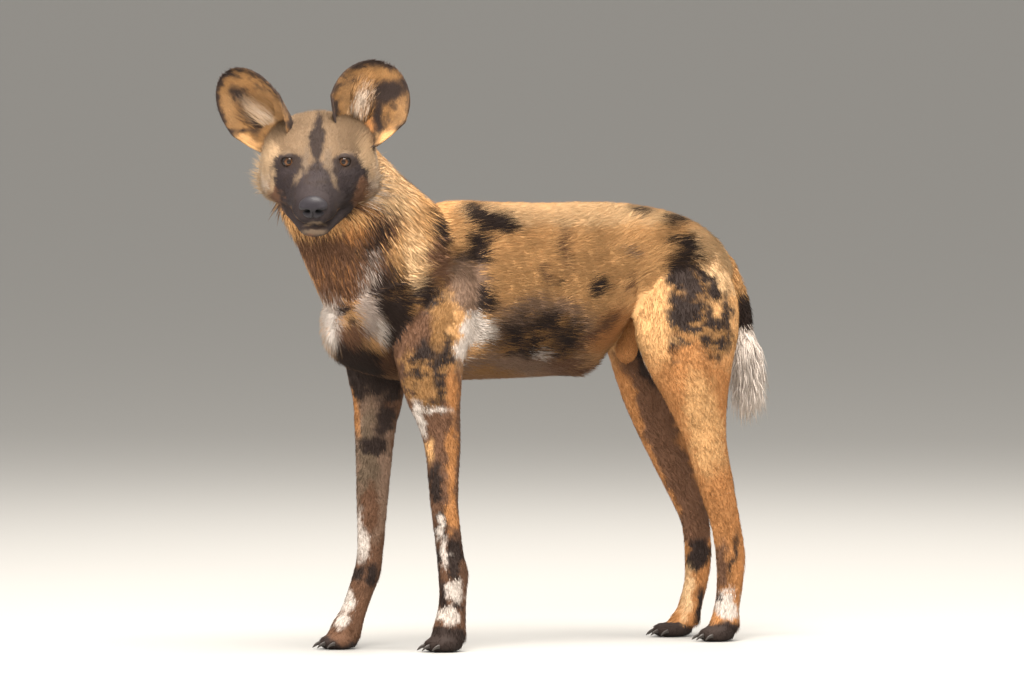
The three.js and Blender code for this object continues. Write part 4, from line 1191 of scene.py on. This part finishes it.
def build_skin(settings):
    """One skin over body, head and ears, with the lie of the coat on it."""
    body, head, ears = body_parts(), head_parts(), ear_parts()
    thing = body_skin(body, settings)
    skull = head_skin(head, settings)
    for part in ears:
        fused(skull, new_object("ear_skin", part["points"], part["faces"]))
    fused(thing, skull)
    thing.data.polygons.foreach_set("use_smooth", np.ones(len(thing.data.polygons), bool))
    lay_coat(thing, body + head + ears)
    return thing


def point_normals(mesh):
    """Directions of the points of a mesh, of length one."""
    normal = np.empty(len(mesh.vertices) * 3, np.float32)
    mesh.vertices.foreach_get("normal", normal)
    return normal.reshape(-1, 3).astype(float)


def relieved(at, normal):
    """Points pushed along their direction by the muscles: the sum of height * exp(-(a/length)^2 -
    (b/height)^2) in each form's own tilted axes, with the ribs as height * sin(2 pi y / spacing), where the
    surface faces sideways."""
    push = np.zeros(len(at))
    sideways = np.abs(normal[:, 0]) ** 1.5
    for y, z, length, tall, tilt, height in RELIEF:
        a = math.radians(tilt)
        dy, dz = at[:, 1] - y, at[:, 2] - z
        along = (dy * math.cos(a) + dz * math.sin(a)) / length
        high = (dz * math.cos(a) - dy * math.sin(a)) / tall
        push += height * np.exp(-along ** 2 - high ** 2) * sideways
    cage = np.exp(-((at[:, 1] + 20) / 82) ** 4 - ((at[:, 2] - 530) / 74) ** 4)
    lean = at[:, 1] + 0.35 * (at[:, 2] - 530)
    push += 0.4 * np.sin(2 * np.pi * lean / RIB_SPACING) * cage * sideways
    return at + normal * push[:, None]


def mesh_arrays(thing):
    """Points and triangles of an object's mesh."""
    mesh = thing.data
    mesh.calc_loop_triangles()
    faces = np.empty(len(mesh.loop_triangles) * 3, np.int32)
    mesh.loop_triangles.foreach_get("vertices", faces)
    return places(mesh), faces.reshape(-1, 3)


def lay_coat(thing, sources):
    """For each skin point: the kind of coat, its flow and its unwrap, from the nearest point of the parts,
    with the flow then relaxed over the skin so that the lie turns smoothly."""
    mesh = thing.data
    count = sum(p["count"] for p in sources)
    tree = KDTree(count)
    kind, flow, wrap, part_of, n = [], [], [], [], 0
    for index, part in enumerate(sources):
        for point in part["points"][:part["count"]]:
            tree.insert(point, n)
            n += 1
        kind.append(np.full(part["count"], KIND_NAMES.index(part["kind"])))
        flow.append(part["flow"])
        wrap.append(part["wrap"])
        part_of.append(np.full(part["count"], index))
    tree.balance()
    kind, flow, wrap, part_of = (np.concatenate(a) for a in (kind, flow, wrap, part_of))
    at = places(mesh)
    nearest = np.array([tree.find(p)[1] for p in at])
    edges = edge_list(mesh)
    normal = point_normals(mesh)
    lie = flow[nearest]
    lie = relaxed(lie, edges, 24)
    lie -= normal * np.einsum("ij,ij->i", lie, normal)[:, None]
    lie /= np.maximum(np.linalg.norm(lie, axis=1, keepdims=True), 1e-6)
    per_kind = np.array([KINDS[k] for k in KIND_NAMES])
    sizes = relaxed(per_kind[kind[nearest]], edges, 10)
    WORK.update(points=at, normal=normal, lie=lie, kind=kind[nearest], wrap=wrap[nearest])
    WORK.update(part=part_of[nearest], length=sizes[:, 1], width=sizes[:, 2], lift=sizes[:, 3])
    _, faces = mesh_arrays(thing)
    a, b, c = (at[faces[:, k]] for k in range(3))
    WORK.update(faces=faces, area=np.linalg.norm(np.cross(b - a, c - a), axis=1))


# Painted shade: the skin is drawn at this share of the coat's colours, for the shade that the hairs over it
# cast
PAINTED_SKIN_SHADE = 0.7


class DOG_OT_skin(bpy.types.Operator):
    """Make the one skin of body, head and ears"""

    bl_idname = "wild_dog.skin"
    bl_label = "Skin"

    def execute(self, context):
        settings = context.scene.wild_dog
        thing = build_skin(settings)
        colours = coat_colours(WORK["points"], WORK["normal"], WORK["kind"], settings,
                               context.scene.wild_dog_stage.distance)
        # Painted shade: the skin under the coat is drawn darker than the hairs over it
        corner_colours(thing.data, "coat", colours * PAINTED_SKIN_SHADE)
        thing.data.materials.clear()
        thing.data.materials.append(painted(
            "skin_under_coat", amount=0.4, scale=400, rough=0.75, specular=0.2, bump=0.5))
        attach(thing, "root")
        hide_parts(*FLESH_NODES)
        return {"FINISHED"}


# Where no hair grows: about the nose, in the head's frame, and on the rims of the eyes
BARE_NOSE_MIDDLE, BARE_NOSE_REACH = [95, 0, -28], [14, 22, 17]
BARE_RIM = 3.4


def bare(points):
    """Which points lie on the rims of the eyes or under the nose pad, where no hair grows."""
    face = head_place(points)
    hairless = (np.abs(face - BARE_NOSE_MIDDLE) / BARE_NOSE_REACH < 1).all(1)
    for side in (1, -1):
        hairless |= np.linalg.norm(face - [0, side * EYE_SPACING / 2, 0], axis=1) < EYE_RADIUS + BARE_RIM
    return hairless


# Coat pieces: name, kinds, tufts, the limits across (x) and along (y), and whether the tufts are long ones
ALL = (-999, 999)
LEFT, RIGHT = (0, 999), (-999, 0)
COAT_PIECES = [
    ("coat_front_left", ("torso",), 32000, LEFT, (-999, -30), False),
    ("coat_front_right", ("torso",), 30000, RIGHT, (-999, -30), False),
    ("coat_rear_left", ("torso",), 32000, LEFT, (-30, 999), False),
    ("coat_rear_right", ("torso",), 30000, RIGHT, (-30, 999), False),
    ("coat_neck_left", ("neck",), 15000, LEFT, ALL, True),
    ("coat_neck_right", ("neck",), 14000, RIGHT, ALL, True),
    ("coat_foreleg_left", ("foreleg", "paw"), 17000, LEFT, (-999, 0), False),
    ("coat_foreleg_right", ("foreleg", "paw"), 17000, RIGHT, (-999, 0), False),
    ("coat_hindleg_left", ("hindleg", "paw"), 22000, LEFT, (0, 999), False),
    ("coat_hindleg_right", ("hindleg", "paw"), 22000, RIGHT, (0, 999), False),
    ("coat_head", ("skull", "jaw"), 42000, ALL, ALL, False),
    ("coat_ears", ("ear",), 24000, ALL, ALL, False),
    ("coat_tail", ("tail", "scrotum"), 9000, ALL, ALL, True),
]


class DOG_OT_coat(bpy.types.Operator):
    """Lay the tufts of the coat over the skin"""

    bl_idname = "wild_dog.coat"
    bl_label = "Coat"

    def execute(self, context):
        settings = context.scene.wild_dog
        distance = context.scene.wild_dog_stage.distance
        first = WORK["faces"][:, 0]
        at, kind = WORK["points"][first], WORK["kind"][first]
        material = painted("coat", amount=0.25, scale=900, rough=0.7, specular=0.12, bump=0.1)
        for index, (name, kinds, count, across, along, long_hair) in enumerate(COAT_PIECES):
            rng = np.random.default_rng(100 + index)
            chosen = np.isin(kind, [KIND_NAMES.index(k) for k in kinds])
            chosen &= (at[:, 0] >= across[0]) & (at[:, 0] < across[1])
            chosen &= (at[:, 1] >= along[0]) & (at[:, 1] < along[1])
            chosen &= at[:, 2] > 1.5
            root = tufts_on(chosen, count, rng)
            hairy = ~bare(root["points"])
            root = {key: value[hairy] for key, value in root.items()}
            piece = tuft_mesh(name, root, settings, distance, rng, long_hair)
            piece.data.materials.append(material)
            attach(piece, "root")
        return {"FINISHED"}


# The nose pad in the head's frame: its middle, then its reach across, up and forward
NOSE_MIDDLE = [93.0, 0.0, -28.0]
NOSE_REACH = [21.5, 17.5, 14.0]
# Dents and swellings of the nose pad: side, up, reach across, reach up, depth (both sides)
NOSE_FORMS = [
    [9.5, -2.5, 4.8, 4.2, -9.0], [16.0, -5.5, 5.0, 3.0, -7.0], [13.0, 3.5, 6.5, 3.2, 1.6],
    [7.5, -11.5, 5.0, 3.4, 1.0],
]


def nose_skin():
    """The nose pad: an ellipsoid in rings about its front, sunk at the nostrils and along the groove
    between them by depth * exp(-(s/across)^2 - (u/up)^2)."""
    count, rows = 144, 110
    p = np.linspace(0.01, np.pi - 0.02, rows)[:, None]
    a = np.arange(count)[None] * 2 * np.pi / count
    side, high, front = np.sin(p) * np.cos(a), np.sin(p) * np.sin(a), np.cos(p) * np.ones_like(a)
    s, u = side * NOSE_REACH[0], high * NOSE_REACH[1]
    s = s * (1 - 0.10 * np.clip(-high, 0, 1))
    push = np.zeros_like(s)
    for x, y, reach_x, reach_y, depth in NOSE_FORMS:
        push += depth * np.exp(-((np.abs(s) - x) / reach_x) ** 2 - ((u - y) / reach_y) ** 2)
    push -= 2.0 * np.exp(-(s / 1.1) ** 2) * ramp(3, -3, u)
    push *= ramp(-0.1, 0.35, front)
    grow = 1 + push / 17
    local = np.stack([front * NOSE_REACH[2] * grow, s * grow, u * grow], -1)
    # Painted shade: how much darker each point is drawn, by how deep it is sunk, for the shade in the nostrils
    # and the groove between them
    depth = np.clip(-push / 5, 0, 1)
    points, faces = skin_of(in_head(local + NOSE_MIDDLE))
    shade = np.concatenate([depth.ravel(), [0, 0]])
    return points, faces, shade


def eye_skin(side):
    """An eyeball in rings about the line of sight: radius plus 0.9 * (1 - (p/36)^2) of cornea, with the
    polar angle and the turn round the pupil of each point."""
    count = 120
    look = VIEW_BACK * 0.8 + HEAD_FORWARD * 0.2
    look = look / np.linalg.norm(look)
    across = HEAD_SIDE - look * (HEAD_SIDE @ look)
    across /= np.linalg.norm(across)
    up = np.cross(look, across)
    p = np.concatenate([np.linspace(0.3, 44, 66), np.linspace(47, 178, 24)])
    radius = EYE_RADIUS + 0.9 * np.clip(1 - (p / 36) ** 2, 0, 1)
    a = np.arange(count) * 2 * np.pi / count
    polar, turn = np.meshgrid(p, a, indexing="ij")
    rings = radius[:, None, None] * turned_away(look, across, up, np.radians(polar), turn)
    points, faces = skin_of(eye_centre(side) + rings)
    return points, faces, np.append(polar.ravel(), [0, 180]), np.append(turn.ravel(), [0, 0])


def iris_colours(polar, turn, settings):
    """Black pupil, amber iris streaked from the pupil outwards, darker at its rim, with painted shade from the
    upper lid over its top, and brown-black beyond."""
    streak = np.sin(turn * 23 + 2 * np.sin(turn * 7)) * 0.5 + np.sin(turn * 61) * 0.3
    iris = np.array(settings.iris)[None] * (1 + 0.28 * streak)[:, None]
    iris *= (1.3 - 0.8 * ramp(24, 40, polar))[:, None]
    # Painted shade: the top of the iris is drawn darker for the upper lid's shadow
    iris *= (1 - 0.75 * ramp(-0.25, 0.5, np.sin(turn) * polar / 40))[:, None]
    dark = np.array([0.010, 0.007, 0.006])
    colour = dark + (iris - dark) * (ramp(16, 18, polar) * (1 - ramp(38, 43, polar)))[:, None]
    return np.clip(colour, 0.002, 1)


CLAW_AHEAD = 9.5
CLAW_HEIGHT = 9.5
CLAW_LENGTH = 13.0


def claw_skin(x, y, z, length):
    """A claw: ovals along a curve that runs forward and bends down, narrowing to a blunt tip."""
    t = np.linspace(0, 1, 16)
    centre = np.stack([x + 0 * t, y - length * t, z - 0.5 * length * t ** 2], -1)
    size = 0.25 + 2.5 * (1 - t) ** 0.65
    ahead = np.gradient(centre, axis=0)
    ahead /= np.linalg.norm(ahead, axis=1, keepdims=True)
    side = np.tile([1.0, 0, 0], (len(t), 1))
    up = np.cross(side, ahead)
    up *= np.sign(up[:, 2:])
    return skin_of(oval(centre, side, up, size * 0.72, size * 1.2, size * 1.2, 20))


def pore_group():
    """Pores of wet skin: a height that sinks between small rounded cells."""
    group = bpy.data.node_groups.new("pores", "ShaderNodeTree")
    group.interface.new_socket("Scale", in_out="INPUT", socket_type="NodeSocketFloat")
    group.interface.new_socket("Height", in_out="OUTPUT", socket_type="NodeSocketFloat")
    nodes, links = group.nodes, group.links
    start, end = nodes.new("NodeGroupInput"), nodes.new("NodeGroupOutput")
    place = nodes.new("ShaderNodeTexCoord")
    cells = nodes.new("ShaderNodeTexVoronoi")
    flip = nodes.new("ShaderNodeMath")
    flip.operation = "SUBTRACT"
    flip.inputs[0].default_value = 1
    links.new(place.outputs["Object"], cells.inputs["Vector"])
    links.new(start.outputs["Scale"], cells.inputs["Scale"])
    links.new(cells.outputs["Distance"], flip.inputs[1])
    links.new(flip.outputs[0], end.inputs["Height"])
    return group


class DOG_OT_eyes(bpy.types.Operator):
    """Set the eyes in their sockets"""

    bl_idname = "wild_dog.eyes"
    bl_label = "Eyes"

    def execute(self, context):
        settings = context.scene.wild_dog
        material = painted("eye", amount=0.1, scale=2000, rough=0.1, specular=0.25, bump=0, wet=0.25)
        for name, side in (("left", 1), ("right", -1)):
            points, faces, polar, turn = eye_skin(side)
            thing = new_object(f"eyeball_{name}", points, faces)
            corner_colours(thing.data, "coat", iris_colours(polar, turn, settings))
            thing.data.materials.append(material)
            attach(thing, "root")
            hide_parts(f"eye_{name}")
        return {"FINISHED"}


class DOG_OT_nose(bpy.types.Operator):
    """Put the nose pad at the end of the muzzle"""

    bl_idname = "wild_dog.nose"
    bl_label = "Nose"

    def execute(self, context):
        settings = context.scene.wild_dog
        points, faces, depth = nose_skin()
        thing = new_object("nose_pad", points, faces)
        # Painted shade: the nostrils and the groove are drawn darker by how deep they are sunk
        tone = np.array(settings.nose_tone)[None] * (1 - 0.9 * depth)[:, None]
        corner_colours(thing.data, "coat", tone)
        material = painted("nose", amount=0.3, scale=700, rough=0.5, specular=0.3, bump=0.3, wet=0.06)
        nodes, links = material.node_tree.nodes, material.node_tree.links
        pores = nodes.new("ShaderNodeGroup")
        pores.node_tree = pore_group()
        pores.inputs["Scale"].default_value = 900
        relief = nodes["Bump"]
        links.new(pores.outputs["Height"], relief.inputs["Height"])
        thing.data.materials.append(material)
        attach(thing, "root")
        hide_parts("nose")
        return {"FINISHED"}


class DOG_OT_claws(bpy.types.Operator):
    """Put four claws on each foot"""

    bl_idname = "wild_dog.claws"
    bl_label = "Claws"

    def execute(self, context):
        settings = context.scene.wild_dog
        material = painted("claw", amount=0.3, scale=500, rough=0.4, specular=0.45, bump=0.2, wet=0.1)
        for name, (x, y, length, width) in PAWS.items():
            claws = []
            for across, back, _ in TOES:
                root_y = y - length * (TOE_REACH - back) - CLAW_AHEAD
                claws.append(claw_skin(x + across * width, root_y, CLAW_HEIGHT, CLAW_LENGTH))
            thing = new_object(f"claws_{name}", *joined(claws))
            corner_colours(thing.data, "coat", np.tile(settings.claw_tone, (len(thing.data.vertices), 1)))
            thing.data.materials.append(material)
            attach(thing, "root")
        return {"FINISHED"}


# Half the floor's side, in millimetres, and how thick it is
FLOOR = 90000.0
FLOOR_DEPTH = 20.0
SENSOR_WIDTH = 36
CAMERA_REACH = 200
WORLD_TONE = (1.0, 0.97, 0.92, 1)
WORLD_STRENGTH = 0.72
LIGHT_TARGET = Vector((0, 0, 0.45))
# Lamps: name, place in metres, whose power and how many times that, size in metres, colour
LAMPS = [
    ("key", (1.1, -0.2, 3.9), "key_power", 1, 2.4, (1.0, 0.95, 0.87)),
    ("fill", (3.3, -2.7, 2.2), "fill_power", 3, 2.8, (1.0, 0.98, 0.95)),
    ("front", (-1.2, -3.6, 2.2), "fill_power", 1, 2.4, (1.0, 0.98, 0.95)),
    ("back", (-2.2, 1.8, 3.0), "fill_power", 1, 1.8, (1.0, 0.97, 0.93)),
]


def set_camera(scene, distance):
    """A camera far off on the photograph's line of sight, its frame as wide at the dog as the photograph."""
    centre_u = (IMAGE_SIZE[0] / 2 - ORIGIN_PIXEL[0]) * PIXEL
    centre_v = (ORIGIN_PIXEL[1] - IMAGE_SIZE[1] / 2) * PIXEL
    target = (VIEW_RIGHT * centre_u + VIEW_UP * centre_v) * MM + SHIFT
    camera = bpy.data.cameras.new("camera")
    camera.sensor_width = SENSOR_WIDTH
    camera.lens = SENSOR_WIDTH * distance / (IMAGE_SIZE[0] * PIXEL * MM)
    camera.clip_end = CAMERA_REACH
    thing = bpy.data.objects.new("camera", camera)
    thing.location = target + VIEW_BACK * distance
    thing.rotation_euler = Vector(VIEW_BACK).to_track_quat("Z", "Y").to_euler()
    scene.collection.objects.link(thing)
    scene.camera = thing


def lay_floor(tone):
    """A wide matt floor under the feet."""
    corners = FLOOR * np.array([[-1.0, -1, 0], [1, -1, 0], [1, 1, 0], [-1, 1, 0]])
    floor = new_object("floor", *skin_of(np.stack([corners - [0, 0, FLOOR_DEPTH], corners])), False)
    material = bpy.data.materials.new("floor")
    material.use_nodes = True
    shader = material.node_tree.nodes["Principled BSDF"]
    shader.inputs["Base Color"].default_value = (*tone, 1)
    shader.inputs["Roughness"].default_value = 0.9
    floor.data.materials.append(material)


def set_sky(scene):
    """An even warm white all round, and colours shown as they are."""
    world = bpy.data.worlds.new("world")
    world.use_nodes = True
    sky = world.node_tree.nodes["Background"]
    sky.inputs["Color"].default_value = WORLD_TONE
    sky.inputs["Strength"].default_value = WORLD_STRENGTH
    scene.world = world
    scene.view_settings.view_transform = "Standard"


def hang_lamps(scene, settings):
    """Wide lamps turned to the dog. Only the key lamp shows in the eyes."""
    for name, place, power, times, size, colour in LAMPS:
        lamp = bpy.data.lights.new(name, "AREA")
        lamp.energy = getattr(settings, power) * times
        lamp.size = size
        lamp.color = colour
        thing = bpy.data.objects.new(name, lamp)
        thing.location = place
        thing.rotation_euler = (Vector(place) - LIGHT_TARGET).to_track_quat("Z", "Y").to_euler()
        thing.visible_glossy = name == "key"
        scene.collection.objects.link(thing)


class DOG_OT_stage(bpy.types.Operator):
    """Set the camera, the pale floor and the soft light"""

    bl_idname = "wild_dog.stage"
    bl_label = "Stage"

    def execute(self, context):
        settings = context.scene.wild_dog_stage
        set_camera(context.scene, settings.distance)
        lay_floor(settings.floor_tone)
        set_sky(context.scene)
        hang_lamps(context.scene, settings)
        return {"FINISHED"}


class DOG_PT_panel(bpy.types.Panel):
    """Lists the steps that dress the dog"""

    bl_label = "Wild Dog"
    bl_idname = "DOG_PT_panel"
    bl_space_type = "VIEW_3D"
    bl_region_type = "UI"
    bl_category = "Wild Dog"

    def draw(self, context):
        for name in ("skin", "coat", "eyes", "nose", "claws", "stage"):
            self.layout.operator(f"wild_dog.{name}")


CLASSES = [DogSettings, StageSettings, DOG_OT_skin, DOG_OT_coat, DOG_OT_eyes, DOG_OT_nose, DOG_OT_claws,
           DOG_OT_stage, DOG_PT_panel]


def register():
    """Make the settings, the steps and the panel known to Blender."""
    for cls in CLASSES:
        bpy.utils.register_class(cls)
    bpy.types.Scene.wild_dog = bpy.props.PointerProperty(type=DogSettings)
    bpy.types.Scene.wild_dog_stage = bpy.props.PointerProperty(type=StageSettings)


def unregister():
    """Take them away again."""
    del bpy.types.Scene.wild_dog
    del bpy.types.Scene.wild_dog_stage
    for cls in reversed(CLASSES):
        bpy.utils.unregister_class(cls)


def main():
    """Dress the dog step by step."""
    register()
    bpy.ops.wild_dog.stage()
    bpy.ops.wild_dog.skin()
    bpy.ops.wild_dog.coat()
    bpy.ops.wild_dog.eyes()
    bpy.ops.wild_dog.nose()
    bpy.ops.wild_dog.claws()


if __name__ == "__main__":
    main()
